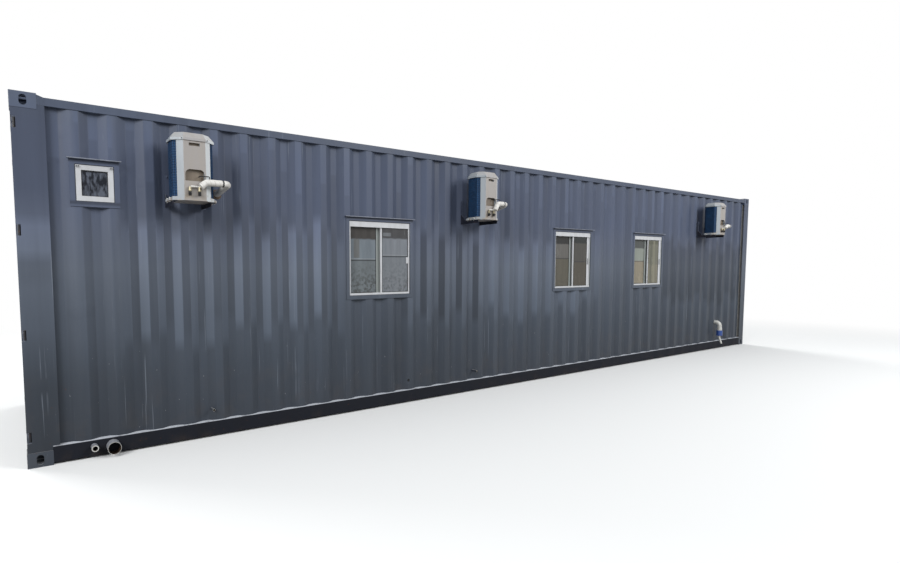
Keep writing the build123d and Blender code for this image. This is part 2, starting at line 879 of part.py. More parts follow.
def recessed_tray(w, h, depth, z0):
    """A shallow box behind an opening in the front panel, open to the front."""
    t = panel_thick
    front = -unit_depth / 2 + t
    shell = block(-w / 2 - t, w / 2 + t, front, front + depth, z0 - t, z0 + h + t)
    return shell - block(-w / 2, w / 2, front - past, front + depth - t, z0, z0 + h)


def unit_feet():
    """Four feet that stand out from the flanks, each with a bolt hole."""
    half = unit_width / 2
    feet = []
    for sx in (-1, 1):
        for y in (-unit_depth / 2 + foot_from_front, unit_depth / 2 - foot_from_back):
            foot = block(sx * (half - foot_root), sx * (half + foot_reach), y - foot_length / 2,
                         y + foot_length / 2, 0, foot_height)
            foot = fillet(foot.edges().filter_by(Axis.Z).sort_by(lambda e: abs(e.center().X))[-2:],
                          foot_round)
            feet.append(foot - Pos(sx * (half + foot_reach / 2), y, 0) * Cylinder(foot_hole, 3 * foot_height))
    return feet


def unit_cabinet(i):
    """Base pan with its feet, and the front panel with its grip and its deeper pocket."""
    pan = extrude(unit_plan(), pan_height) + unit_feet()
    outer = panel_outline()
    t = panel_thick
    inner = [(x * (1 - t / (unit_width / 2)), y + t) for x, y in outer]
    panel_top = pan_height + coil_height
    panel = prism(outer + inner[::-1], pan_height, panel_top)
    front = -unit_depth / 2
    grip_bottom = panel_top - grip_from_top - grip_height
    panel -= block(-grip_width / 2, grip_width / 2, front - past, front + t + past,
                   grip_bottom, grip_bottom + grip_height)
    mouth = Pos(0, pocket_bottom + pocket_height / 2) * Rectangle(pocket_width, pocket_height)
    mouth = fillet(mouth.vertices().sort_by(Axis.Y)[-2:], pocket_radius)
    panel -= along_y(mouth, front - past, front + t + past)
    trays = recessed_tray(grip_width, grip_height, grip_depth, grip_bottom)
    trays += recessed_tray(pocket_width, pocket_height, pocket_depth, pocket_bottom)
    return Pos(*unit_origin(i)) * (pan + panel + trays)


def unit_coil(i):
    """Finned coil wrapped round the back, both flanks and the ends of the chamfers."""
    coil = extrude(unit_plan(-coil_inset) - unit_plan(-coil_inset - coil_thick), coil_height)
    panel_edge_y = panel_outline()[0][1]
    coil -= block(-unit_width, unit_width, -unit_depth, panel_edge_y, -past, coil_height + past)
    x, y, z = unit_origin(i)
    return Pos(x, y, z + pan_height) * coil


def fan_guard():
    """Domed guard of round rings on spokes, its rim at the height of the cover's top."""
    ball = (fan_opening ** 2 + guard_rise ** 2) / (2 * guard_rise)

    def rise(r):
        return math.sqrt(ball ** 2 - r ** 2) - (ball - guard_rise)

    half = guard_wire / 2
    sections = [Pos(r, rise(r)) * Rectangle(guard_wire, guard_wire) for r in guard_rings]
    rings = revolve(Plane.XZ * (Sketch() + sections), Axis.Z)
    middle = (guard_rings[0] + fan_opening) / 2
    end = fan_opening + guard_into_cover
    upper = ThreePointArc((guard_rings[0], rise(guard_rings[0]) + half), (middle, rise(middle) + half),
                          (end, half))
    lower = ThreePointArc((end, -half), (middle, rise(middle) - half),
                          (guard_rings[0], rise(guard_rings[0]) - half))
    spoke_face = make_face([upper, Line(upper @ 1, lower @ 0), lower, Line(lower @ 1, upper @ 0)])
    spoke = extrude(Plane.XZ * spoke_face, half, both=True)
    guard = rings
    for k in range(guard_spokes):
        guard += Rot(0, 0, 360 * k / guard_spokes) * spoke
    return guard + Pos(0, 0, guard_rise) * Cylinder(guard_rings[0], guard_wire)


def unit_cover(i):
    """Domed top cover with a lip, and the guard over the fan."""
    lip = extrude(unit_plan(cover_overhang), cover_lip)
    dome_height = cover_height - cover_lip
    dome = extrude(unit_plan(cover_overhang - cover_step), dome_height, taper=cover_taper)
    dome = Pos(0, 0, cover_lip) * dome
    dome = fillet(dome.faces().sort_by(Axis.Z)[-1].edges(), cover_round)
    hollow = Pos(0, 0, -past) * extrude(unit_plan(-cover_shell), cover_lip + past)
    hollow += Pos(0, 0, cover_lip) * extrude(unit_plan(-cover_shell), dome_height - cover_shell,
                                             taper=cover_taper)
    cover = lip + dome - hollow - Cylinder(fan_opening, 4 * cover_height)
    cover += Pos(0, 0, cover_height - cover_shell / 2) * fan_guard()
    x, y, z = unit_origin(i)
    return Pos(x, y, z + pan_height + coil_height) * cover


def unit_fan(i):
    """Fan under the guard, with its motor on an arm between the coil's flanks."""
    fan = Cylinder(fan_hub_radius, fan_hub_height)
    for k in range(fan_blades):
        blade = extrude(Circle(fan_radius) - Circle(fan_hub_radius - blade_thick), blade_thick)
        reach_out = 2 * fan_radius
        wide = blade_share * fan_radius
        wedge = Polyline((0, 0), (reach_out, -wide), (reach_out, wide), close=True)
        blade &= extrude(make_face(wedge), blade_thick)
        fan += Rot(0, 0, 360 * k / fan_blades) * (Rot(blade_pitch, 0, 0) * blade)
    top_down = (Align.CENTER, Align.CENTER, Align.MAX)
    motor = Pos(0, 0, -fan_hub_height / 2) * Cylinder(motor_radius, motor_height, align=top_down)
    reach = unit_width / 2 - coil_inset - coil_thick - pipe_gap
    arm_top = -fan_hub_height / 2 - motor_height / 2
    arm = block(-reach, reach, -motor_arm_width / 2, motor_arm_width / 2, arm_top - motor_arm_thick, arm_top)
    x, y, z = unit_origin(i)
    hub_z = z + pan_height + coil_height + cover_lip + fan_below_cover
    return Pos(x, y, hub_z) * (fan + motor + arm)


def unit_brackets(i):
    """Two steel brackets: a level arm under the pan, a leg up the wall behind it and a gusset."""
    x, y, z = unit_origin(i)
    y_wall = -wall_face
    y_tip = y - unit_depth / 2 + bracket_short
    t = bracket_thick
    arms = []
    for sx in (-1, 1):
        xc = x + sx * bracket_spread / 2
        x0, x1 = xc - bracket_face / 2, xc + bracket_face / 2
        arm = block(x0, x1, y_tip, y_wall, z - t, z)
        arm += block(x0, x0 + t, y_tip, y_wall, z - bracket_face, z)
        leg = block(x0, x1, y_wall - t, y_wall, z - bracket_face, z + bracket_rise)
        deep = min(wave_depth_at(xc - packer / 2), wave_depth_at(xc + packer / 2))
        for zc in (z - packer, z + bracket_rise - packer):
            if deep > 0:
                leg += block(xc - packer / 2, xc + packer / 2, y_wall, y_wall + deep,
                             zc - packer, zc + packer)
        corner = Polyline((y_wall - t, z), (y_wall - t - gusset, z), (y_wall - t, z + gusset), close=True)
        arms.append(arm + leg + along_x(make_face(corner), x0, x0 + t))
    return arms


def wave_depth_at(x):
    """How far the near wall's outer surface lies behind its outer flats at x."""
    from_recess = abs((x - place(first_recess) + wave_pitch / 2) % wave_pitch - wave_pitch / 2)
    slope = (wave_pitch - wave_outer_flat - wave_inner_flat) / 2
    share = (from_recess - wave_inner_flat / 2) / slope
    return wave_depth * (1 - min(max(share, 0.0), 1.0))


def round_run(points, radius, bend):
    """A round pipe along straight runs joined by arcs."""
    path = FilletPolyline(*points, radius=bend)
    start = Plane(origin=path @ 0, z_dir=path % 0)
    return sweep(start * Circle(radius), path=path)


def unit_piping(i):
    """Two service valves with their branches, and the wrapped bundle that runs on into the wall."""
    x, y, z = unit_origin(i)
    front = y - unit_depth / 2
    pipe_y = front - valve_stand_off
    side_x, wall_z = bundle_end(i)
    start_x = x + valve_places[1] + branch_radius
    start_y = front - bundle_stand_off
    run_z = z + bundle_heights[i]
    points = [(start_x, start_y, z + branch_height), (start_x + bundle_rise_run, start_y, run_z),
              (side_x, start_y, run_z), (side_x, -wall_face - bundle_last_run, wall_z),
              (side_x, -lining_outer, wall_z)]
    piping = round_run(points, bundle_radius, bundle_bend)
    upright = (Align.CENTER, Align.CENTER, Align.MIN)
    for place_x in valve_places:
        valve_x = x + place_x
        piping += Pos(valve_x, pipe_y, z + valve_low) * Cylinder(valve_radius, valve_high - valve_low,
                                                                 align=upright)
        boss = Circle(valve_boss_radius)
        piping += along_y(Pos(valve_x, z + (valve_low + valve_high) / 2) * boss, pipe_y, front)
        elbow = [(valve_x, pipe_y, z + valve_high), (valve_x, pipe_y, z + branch_height),
                 (start_x + bundle_radius, pipe_y, z + branch_height)]
        piping += round_run(elbow, branch_radius, 2 * branch_radius)
    return piping


def unit_cable(i):
    """Cable out of the pocket's back, over and down onto the wrapped bundle."""
    x, y, z = unit_origin(i)
    front = y - unit_depth / 2
    bundle_top = z + bundle_heights[i] + bundle_radius
    high = bundle_top + cable_over_bundle
    out_x = x + cable_from_middle
    down_x = x + valve_places[1] + branch_radius + bundle_rise_run + bundle_radius
    down_y = front - bundle_stand_off
    points = [(out_x, front + pocket_depth, high), (out_x, front - cable_stand_off, high),
              (down_x, down_y, high), (down_x, down_y, bundle_top + pipe_gap)]
    return round_run(points, cable_radius, cable_bend)


def tube_y(x, z, radius, wall, y0, y1):
    """A pipe that lies across the wall."""
    ring = Pos(x, z) * (Circle(radius) - Circle(radius - wall))
    return along_y(ring, y0, y1)


def drains():
    """Two waste pipes through the bottom rail, and the small drain stubs higher up the wall."""
    pieces = [
        tube_y(place(drain_large_place), drain_large_height, drain_large_radius, drain_wall,
               -half_w - drain_reach_large, -rail_face),
        tube_y(place(drain_small_place), drain_small_height, drain_small_radius, drain_small_wall,
               -half_w - drain_reach_small, -rail_face),
    ]
    for p in stub_places:
        pieces.append(tube_y(place(p), stub_height, stub_radius, stub_wall, -half_w - stub_reach,
                             -lining_outer))
    return pieces


def inlet():
    """Water inlet: an elbow out of the wall, a coupling under it and a tail that leans outwards."""
    x = place(inlet_place)
    y = -wall_face - inlet_out
    z = inlet_height
    elbow = round_run([(x, -lining_outer, z), (x, y, z), (x, y, z - inlet_drop)], inlet_radius,
                      2 * inlet_radius)
    hanging = (Align.CENTER, Align.CENTER, Align.MAX)
    low = z - inlet_drop
    bell = Pos(x, y, low + inlet_bell_height) * Cylinder(inlet_bell, inlet_bell_height, align=hanging)
    coupling = Pos(x, y, low) * Cylinder(coupling_radius, coupling_height, align=hanging)
    tail_top = low - coupling_height
    tail = round_run([(x, y, tail_top + tail_socket), (x, y, tail_top - tail_straight),
                      (x, y - tail_lean, tail_top - tail_drop)], tail_radius, 2 * tail_radius)
    return elbow + bell + coupling + tail


def build():
    """All nodes by name."""
    nodes = {}
    nodes["castings_top"] = castings(True)
    nodes["castings_bottom"] = castings(False)
    nodes["door_post_near"] = door_post()
    nodes["door_post_far"] = far(door_post())
    nodes["front_post_near"] = front_post()
    nodes["front_post_far"] = far(front_post())
    nodes["top_rail_near"] = top_rail()
    nodes["top_rail_far"] = far(top_rail())
    nodes["bottom_rail_near"] = bottom_rail()
    nodes["bottom_rail_far"] = far(bottom_rail())
    nodes["door_header"] = cargo_header()
    nodes["door_threshold"] = cargo_threshold()
    nodes["end_rail_top"] = end_rail_top()
    nodes["end_rail_bottom"] = end_rail_bottom()
    wall = side_sheet()
    lining = lining_board()
    windows = window_cuts()
    nodes["side_wall_near"] = wall - windows - small_cut() - pipe_holes()
    nodes["side_wall_far"] = far(wall - windows - entrance_cut())
    near_lining = lining - windows - small_cut()
    far_lining = far(lining - windows - entrance_cut())
    x1 = front_lining_outer
    end_lining = block(x1 - lining_thick, x1, -lining_outer, lining_outer, floor_top, ceiling_z)
    nodes["lining_near"] = near_lining
    nodes["lining_far"] = far_lining
    nodes["lining_end"] = end_lining
    nodes["ceiling"] = block(door_face + header_depth, x1, -lining_outer, lining_outer, ceiling_z,
                             ceiling_z + ceiling_thick)
    nodes["end_wall"] = end_wall()
    nodes["roof"] = roof()
    nodes["floor_beams"] = floor_beams()
    nodes["floor"] = floor_board()
    z = window_bottom + window_height / 2
    near_glass = []
    far_glass = []
    far_frames = []
    trims = []
    far_trims = []
    for n, c in enumerate(window_centres):
        x = place(c)
        rear, fore, stiles = panes(x, z, pull_stile_faces[n])
        frame = sliding_frame(x, z) + stiles
        nodes[f"window_{n + 1}_frame"] = frame
        near_glass += [rear, fore]
        far_glass += [far(rear), far(fore)]
        far_frames.append(far(frame))
        trims.append(window_trim(x, z, window_width, window_height))
        far_trims.append(far(trims[-1]))
    small_z = small_bottom + small_height / 2
    small_x = place(small_centre)
    trims.append(window_trim(small_x, small_z, small_width, small_height))
    nodes["window_trims_near"] = Compound(children=trims)
    nodes["window_trims_far"] = Compound(children=far_trims)
    nodes["window_frames_far"] = Compound(children=far_frames)
    nodes["small_window_frame"] = small_frame(small_x, small_z)
    nodes["glass_near"] = Compound(children=near_glass + [small_pane(small_x, small_z)])
    nodes["glass_far"] = Compound(children=far_glass)
    nodes["entrance_frame"] = far(entrance_frame())
    nodes["entrance_door"] = far(entrance_leaf())
    nodes["cargo_door_near"] = cargo_leaf()
    nodes["cargo_door_far"] = far(cargo_leaf())
    gear = lock_gear() + cargo_hinges()
    nodes["cargo_door_gear"] = Compound(children=gear + [far(g) for g in gear])
    brackets = []
    piping = []
    fans = []
    for i in range(len(unit_centres)):
        nodes[f"condenser_{i + 1}_cabinet"] = unit_cabinet(i)
        nodes[f"condenser_{i + 1}_coil"] = unit_coil(i)
        nodes[f"condenser_{i + 1}_cover"] = unit_cover(i)
        brackets += unit_brackets(i)
        piping += [unit_piping(i), unit_cable(i)]
        fans.append(unit_fan(i))
    nodes["condenser_brackets"] = Compound(children=brackets)
    nodes["condenser_piping"] = Compound(children=piping)
    nodes["condenser_fans"] = Compound(children=fans)
    nodes["drain_pipes"] = Compound(children=drains())
    nodes["water_inlet"] = inlet()
    return nodes


os.makedirs("parts", exist_ok=True)
for name, shape in build().items():
    export_step(shape, f"parts/{name}.step")
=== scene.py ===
import math

import bmesh
import bpy
from mathutils import Euler, Matrix, Vector, noise


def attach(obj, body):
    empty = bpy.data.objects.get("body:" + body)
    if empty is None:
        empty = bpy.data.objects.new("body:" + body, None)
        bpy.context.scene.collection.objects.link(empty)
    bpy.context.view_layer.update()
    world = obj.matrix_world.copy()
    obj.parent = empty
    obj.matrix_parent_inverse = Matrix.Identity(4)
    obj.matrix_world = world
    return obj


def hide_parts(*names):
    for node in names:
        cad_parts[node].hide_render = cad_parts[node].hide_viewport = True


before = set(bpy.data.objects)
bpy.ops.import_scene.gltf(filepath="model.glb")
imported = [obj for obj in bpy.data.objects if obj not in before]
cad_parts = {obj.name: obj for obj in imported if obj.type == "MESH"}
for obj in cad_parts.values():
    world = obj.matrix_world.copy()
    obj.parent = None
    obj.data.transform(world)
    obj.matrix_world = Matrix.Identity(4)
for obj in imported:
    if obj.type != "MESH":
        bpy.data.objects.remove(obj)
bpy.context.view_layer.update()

FRONT, BACK = Vector((0, -1, 0)), Vector((0, 1, 0))
DOWN, UP = Vector((0, 0, -1)), Vector((0, 0, 1))
OUT_OF_DOORS, ALONG = Vector((-1, 0, 0)), Vector((1, 0, 0))

# Places on the container, in metres: X from the cargo doors to the closed end, -Y to the side with
# the condensing units, Z up
HALF_LENGTH = 6.096
WALL_FACE, WALL_RECESS = -1.211, -1.175
RAIL_TOP = 0.155
CASTING_LENGTH, CASTING_HEIGHT, CASTING_TOP_FOOT = 0.178, 0.118, 2.778
# Two places this near are the same
SLACK = 0.001

WINDOW_CENTRES = [-2.749, 0.609, 2.559]
WINDOW_HALF = 0.402
WINDOW_LOW, WINDOW_HIGH = 1.264, 2.064
TRIM_WIDTH = 0.040
FRAME_FACE = -1.207
PANE_LOW, PANE_HIGH = 1.290, 2.002
REAR_PANE_EDGE, FORE_PANE_EDGE = -0.058, -0.013
REAR_FACE, FORE_FACE = -1.159, -1.193
PANE_OUTER, PULL_EDGE = 0.384, 0.336
PULL_CENTRE, PULL_HEIGHT, PULL_FACE = 0.360, 1.646, -1.196
# The stiles of the near windows meet a little nearer to the right side than in the CAD, as they look
REAR_MOVE, FORE_MOVE = 0.030, 0.040
# What moves of a window: all behind a depth at the rear pane's edge, and the fore stile between two
# depths and two sides
REAR_STILE_FROM = -1.165
FORE_STILE_DEPTHS, FORE_STILE_SIDES = (-1.199, -1.145), (-0.034, -0.012)
# Painted shade in a window: the stile behind the glass, by its depths and sides, and the closing jamb
SHADED_STILE_DEPTHS, SHADED_STILE_SIDES = (1.147, 1.1635), (-0.062, 0.030)
SHADED_JAMB_SIDES = (0.386, 0.404)
HOOD_FRONT, HOOD_SIDE = -1.243, 0.014
SMALL_WINDOW = (-5.540, 2.248)
SMALL_HALF_WIDTH, SMALL_HALF_HEIGHT = 0.143, 0.148
SMALL_FRAME_BAR = 0.046
SMALL_FACE, SMALL_PANE_FACE, SMALL_CATCH_FACE = -1.215, -1.195, -1.223
ENTRANCE_CENTRE, ENTRANCE_HALF = -1.086, 0.450
ENTRANCE_JAMB, ENTRANCE_FACE = 0.045, 1.203

# The condensing units: heights count from the bottom, and sides from the middle
UNIT_CENTRES = [-4.828, -1.396, 4.309]
UNIT_Y, UNIT_FRONT, UNIT_BOTTOM = -1.420, -1.540, 2.124
COVER_BOTTOM, COVER_LIP = UNIT_BOTTOM + 0.488, 0.020
COVER_FRONT = -1.548
GUARD_RADIUS, GUARD_LOW = 0.0755, 0.55
DOME_RISE, DOME_ROUND = 0.008, 0.020
POCKET_SIDE, POCKET_LOW, POCKET_FRONT, POCKET_BACK = 0.084, 0.15, 0.0025, 0.035
FOOT_ROWS = [-1.442, -1.346]
FOOT_OUT, FOOT_TOP, ARM_PLATE = 0.185, 0.020, 0.004
VALVES = [-0.049, 0.029]
VALVE_OUT, VALVE_HEIGHT, VALVE_TOP, VALVE_SIDE = 0.016, 0.038, 0.0885, 0.045
BUNDLE_SIDES = [0.272, 0.226, 0.218]
BUNDLE_HEIGHTS = [0.150, 0.188, 0.152]
BUNDLE_Y, BUNDLE_RADIUS = -1.570, 0.028
BUNDLE_START, BUNDLE_IN_WALL, CABLE_SIDE = 0.118, 0.112, 0.130
STRAP_BEFORE_BEND, STRAP_WIDTH = 0.050, 0.011
BRACKET_ACROSS = 0.155
BRACKET_BOLTS = [-0.014, 0.226]
BRACKET_LEG_FRONT, BRACKET_LEG_PLATE = -1.262, 0.004
COVER_SCREW_SIDE, COVER_SCREW_HEIGHT = 0.105, 0.010
PANEL_SCREW_SIDE, PANEL_SCREW_HEIGHTS = 0.082, (0.050, 0.300, 0.474)

DRAINS = [(-5.485, 0.080, 0.0525), (-5.626, 0.096, 0.027), (-4.640, 0.262, 0.0125), (-1.326, 0.262, 0.0125)]
STUB_RADIUS = 0.02
INLET_COUPLING = (0.267, 0.365)

DOOR_FACE = -6.054
LEAF_Y, LEAF_Z = (-1.092, -0.006), (0.149, 2.752)
LIP_WIDTH, LIP_DEPTH, LIP_BACK = 0.005, 0.014, 0.020
HINGE_FACE, HINGE_PINS_FROM = -6.073, 1.179
HINGE_HEIGHTS = [0.243, 1.051, 1.858, 2.666]
HINGE_BOLTS = (0.035, 0.095, 0.150)

# The camera stands at the photo's viewpoint, near the cargo door end
IMAGE_WIDTH = 900
FOCAL = 532.198
SHIFT_RIGHT, SHIFT_UP = 80.0, 26.0
eye = Vector((-6.05745, -6.08199, 1.54852))
yaw, pitch, roll = 0.576057, -0.071957, -0.005092
camera_data = bpy.data.cameras.new("photo_camera")
camera_data.sensor_width = 36.0
camera_data.lens = FOCAL * camera_data.sensor_width / IMAGE_WIDTH
camera_data.shift_x = SHIFT_RIGHT / IMAGE_WIDTH
camera_data.shift_y = SHIFT_UP / IMAGE_WIDTH
camera = bpy.data.objects.new("photo_camera", camera_data)
turn = Euler((math.pi / 2 + pitch, 0, -yaw)).to_matrix() @ Matrix.Rotation(roll, 3, "Z")
camera.matrix_world = Matrix.Translation(eye) @ turn.to_4x4()
bpy.context.scene.collection.objects.link(camera)
bpy.context.scene.camera = camera


def shade(red, green, blue):
    """A colour as a paint card gives it, 0 to 255, turned into the light it sends back."""
    out = []
    for part in (red, green, blue):
        part = part / 255
        out.append(part / 12.92 if part <= 0.04045 else ((part + 0.055) / 1.055) ** 2.4)
    return (*out, 1.0)


class Wiring:
    """A tree of nodes and the short steps that add to it."""

    def __init__(self, tree):
        self.tree = tree

    def node(self, kind, feeds, **settings):
        made = self.tree.nodes.new(kind)
        for key, value in settings.items():
            setattr(made, key, value)
        for key, value in feeds.items():
            self.feed(made.inputs[key], value)
        return made

    def feed(self, socket, value):
        if isinstance(value, bpy.types.NodeSocket):
            self.tree.links.new(value, socket)
        else:
            socket.default_value = value

    def sum(self, kind, first, second=0.5, third=0.5):
        return self.node("ShaderNodeMath", {0: first, 1: second, 2: third}, operation=kind).outputs[0]

    def seen_directly(self):
        """One where it is looked at, itself or in gloss or glass; none where it only lights."""
        rays = self.tree.nodes.new("ShaderNodeLightPath").outputs
        looked_at = self.sum("MAXIMUM", rays["Is Camera Ray"], rays["Is Glossy Ray"])
        return self.sum("MAXIMUM", looked_at, rays["Is Transmission Ray"])

    def show(self, share, light, white, end):
        """Ends the tree in a mix of its own light and of plain white."""
        choice = self.node("ShaderNodeMixShader", {0: share, 1: light.outputs[0], 2: white.outputs[0]})
        self.feed(self.tree.nodes[end].inputs["Surface"], choice.outputs[0])


class Finish(Wiring):
    """One material and the short steps its pattern is made of."""

    def __init__(self, name, roughness, metallic=0.0, specular=0.5):
        self.material = bpy.data.materials.new(name)
        self.material.use_nodes = True
        super().__init__(self.material.node_tree)
        self.shader = self.tree.nodes["Principled BSDF"]
        self.shader.inputs["Roughness"].default_value = roughness
        self.shader.inputs["Metallic"].default_value = metallic
        self.shader.inputs["Specular IOR Level"].default_value = specular
        self.place = self.tree.nodes.new("ShaderNodeTexCoord").outputs["Object"]
        place_parts = self.node("ShaderNodeSeparateXYZ", {"Vector": self.place})
        self.x, self.y, self.z = place_parts.outputs
        facing = self.tree.nodes.new("ShaderNodeNewGeometry").outputs["Normal"]
        facing_parts = self.node("ShaderNodeSeparateXYZ", {"Vector": facing})
        self.face_x, self.face_y, self.face_z = facing_parts.outputs

    def times(self, first, second):
        return self.sum("MULTIPLY", first, second)

    def plus(self, first, second):
        return self.sum("ADD", first, second)

    def less(self, first, second):
        return self.sum("SUBTRACT", first, second)

    def span(self, value, low, high, out_low=0.0, out_high=1.0):
        """Spreads a value between two ends, and holds it there."""
        feeds = {"Value": value, "From Min": low, "From Max": high, "To Min": out_low, "To Max": out_high}
        return self.node("ShaderNodeMapRange", feeds).outputs["Result"]

    def sway(self, pattern, low=0.0, high=1.0):
        """Spreads the range where most of a noise lies."""
        return self.span(pattern, 0.3, 0.7, low, high)

    def within(self, value, low, high, soft=0.002, most=1.0):
        """Its most between two levels and none outside them."""
        rise = self.span(value, low - soft, low + soft, 0.0, most)
        return self.times(rise, self.span(value, high + soft, high - soft))

    def every(self, value, pitch):
        """How far along its pitch a value is, from 0 to 1."""
        return self.sum("FRACT", self.times(value, 1 / pitch))

    def waves(self, value, pitch):
        return self.sum("SINE", self.times(value, 2 * math.pi / pitch))

    def stretched(self, scale, shift=(0, 0, 0)):
        feeds = {"Vector": self.place, "Scale": scale, "Location": shift}
        return self.node("ShaderNodeMapping", feeds).outputs["Vector"]

    def noise(self, scale, detail=3.0, stretch=(1, 1, 1), shift=(0, 0, 0), rough=0.55):
        feeds = {"Vector": self.stretched(stretch, shift), "Scale": scale, "Detail": detail,
                 "Roughness": rough}
        return self.node("ShaderNodeTexNoise", feeds).outputs["Fac"]

    def blotches(self, scale, low, high, **more):
        """Noise cut off between two levels, for stains and specks."""
        return self.span(self.noise(scale, **more), low, high)

    def chance(self, value):
        """A number between 0 and 1 drawn for each whole number."""
        return self.node("ShaderNodeTexWhiteNoise", {"W": value}, noise_dimensions="1D").outputs["Value"]

    def blend(self, share, first, second):
        mixed = self.node("ShaderNodeMix", {0: share, 6: first, 7: second}, data_type="RGBA")
        return mixed.outputs[2]

    def stain(self, colour, where, most, tone):
        """Another tone laid over the colour where a pattern says, up to a share."""
        return self.blend(self.times(where, most), colour, tone)

    def dusted(self, colour, how_much, tone, low=0.5, high=0.9):
        """Dust settled on the faces that look up."""
        return self.blend(self.times(self.span(self.face_z, low, high), how_much), colour, tone)

    def scaled(self, colour, by):
        """A colour made lighter or darker by a value."""
        grey = self.node("ShaderNodeCombineColor", {"Red": by, "Green": by, "Blue": by}).outputs[0]
        mixed = self.node("ShaderNodeMix", {0: 1.0, 6: colour, 7: grey}, data_type="RGBA",
                          blend_type="MULTIPLY")
        return mixed.outputs[2]

    def bands(self, value, stops):
        """Colours at places along a value that runs from 0 to 1."""
        ramp = self.node("ShaderNodeValToRGB", {"Fac": value})
        line = ramp.color_ramp.elements
        line[0].position, line[0].color = stops[0]
        line[1].position, line[1].color = stops[-1]
        for position, colour in stops[1:-1]:
            line.new(position).color = colour
        return ramp.outputs["Color"]

    def relief(self, height, depth, strength=1.0, onto=None):
        feeds = {"Height": height, "Distance": depth, "Strength": strength}
        if onto is not None:
            feeds["Normal"] = onto
        return self.node("ShaderNodeBump", feeds).outputs["Normal"]

    def wear(self, colour=None, roughness=None, relief=None):
        """Joins the pattern to the shader and gives the material back."""
        for socket, value in (("Base Color", colour), ("Roughness", roughness), ("Normal", relief)):
            if value is not None:
                self.feed(self.shader.inputs[socket], value)
        return self.material


RIB_PITCH = 0.278
FIRST_RIB = -HALF_LENGTH + 0.280
# How much lighter or darker a painted sheen makes the ribs, along five stretches of the wall: where each
# starts and ends, and the share on its flat faces, on those turned to the cargo doors and on those turned
# away
PAINTED_SHEEN = [
    (-5.35, -3.25, -0.15, 0.62, 0.40),
    (-2.40, -1.10, 0.30, -0.34, 0.22),
    (-1.10, 1.20, 0.18, 0.55, 0.25),
    (2.00, 3.10, -0.06, 0.06, 0.0),
    (3.10, 6.10, -0.32, -0.28, -0.28),
]
# The painted sheen lies at window height, and on each face it starts and ends lower by up to so much
SHEEN_LOW, SHEEN_HIGH, RAGGED = 1.12, 2.10, 0.30
# Beside the door post the wall's foot is darker: from and to where along it and down it, and how dark
DARK_FOOT_SIDES, DARK_FOOT_HEIGHTS, DARK_FOOT = (-5.0, -5.4), (1.0, 0.6), 0.80
# On half of the flat faces a second coat starts at a height between two, and is a little lighter
COAT_HEIGHTS, COAT_LIFT = (2.72, 2.28), 0.17


def rib_tone(f):
    """Painted sheen and shade of the corrugated sheet, by the way its faces turn and in its recesses."""
    # Each face has a whole number, and a fraction added to it draws another chance for the same face
    face = f.sum("FLOOR", f.times(f.less(f.x, FIRST_RIB - RIB_PITCH / 8), 4 / RIB_PITCH))
    # A painted sheen: at window height each face is lighter or darker by the way it turns
    to_doors = f.span(f.face_x, -0.10, -0.32)
    from_doors = f.span(f.face_x, 0.10, 0.32)
    flat = f.less(1.0, f.plus(to_doors, from_doors))
    ragged = f.plus(f.z, f.times(f.chance(face), RAGGED))
    height = f.within(ragged, SHEEN_LOW, SHEEN_HIGH, 0.06)
    tone_shift = 0.0
    for low, high, on_flat, on_to_doors, on_from_doors in PAINTED_SHEEN:
        share = f.plus(f.times(flat, on_flat), f.plus(f.times(to_doors, on_to_doors),
                                                      f.times(from_doors, on_from_doors)))
        tone_shift = f.plus(tone_shift, f.times(f.within(f.x, low, high, 0.08), share))
    tone = f.plus(1.0, f.times(height, tone_shift))
    foot = f.times(f.span(f.x, *DARK_FOOT_SIDES), f.span(f.z, *DARK_FOOT_HEIGHTS))
    tone = f.times(tone, f.span(foot, 0.0, 1.0, 1.0, DARK_FOOT))
    tone = f.times(tone, f.span(f.chance(f.plus(face, 0.5)), 0.0, 1.0, 0.93, 1.07))
    # Painted shade: the recessed flats of the sheet are a tenth darker
    recess_shade = f.span(f.sum("ABSOLUTE", f.y), -WALL_FACE, -WALL_RECESS, 1.0, 0.9)
    coat_from = f.span(f.chance(f.plus(face, 0.25)), 0.0, 1.0, *COAT_HEIGHTS)
    coat = f.span(f.less(f.z, coat_from), -0.01, 0.01)
    coat = f.times(coat, f.span(f.chance(f.plus(face, 0.75)), 0.5, 0.52, 0.0, COAT_LIFT))
    return f.times(f.times(tone, recess_shade), f.plus(1.0, f.times(coat, flat)))


# The door posts' paint: darker to one height and plain from the next, lighter in two bands, and darker over
# a height
POST_FOOT = (0.62, 1.00, 0.67)
POST_BANDS = [(1.04, 1.46, 0.12), (1.66, 1.94, 0.44)]
POST_HEAD = (2.00, 2.18, 0.84)


def post_tone(f):
    """Light and dark of the door posts by height."""
    dirty_to, clean_from, dark = POST_FOOT
    tone = f.span(f.z, dirty_to, clean_from, dark, 1.0)
    for low, high, tone_shift in POST_BANDS:
        tone = f.times(tone, f.plus(1.0, f.within(f.z, low, high, 0.05, tone_shift)))
    bright_to, dull_from, dull = POST_HEAD
    return f.times(tone, f.span(f.z, bright_to, dull_from, 1.0, dull))


# The slate paint's colour from the ground up, at shares of the reflection's height: darker near the ground
# and lightest at mid height, a painted reflection of the surroundings
REFLECTION_HEIGHT = 2.9
SLATE_REFLECTION = [
    (0.03, shade(56, 61, 69)), (0.24, shade(61, 68, 78)), (0.40, shade(70, 77, 88)),
    (0.54, shade(80, 87, 99)), (0.66, shade(77, 84, 100)), (0.76, shade(72, 80, 99)),
    (0.92, shade(71, 79, 98)), (1.0, shade(72, 80, 96)),
]
# A painted shadow: each hood throws a soft dark band on the surround under it
HOOD_HEIGHTS = (WINDOW_HIGH + TRIM_WIDTH, SMALL_WINDOW[1] + SMALL_HALF_HEIGHT + TRIM_WIDTH)
HOOD_SHADOW_BAND = 0.026


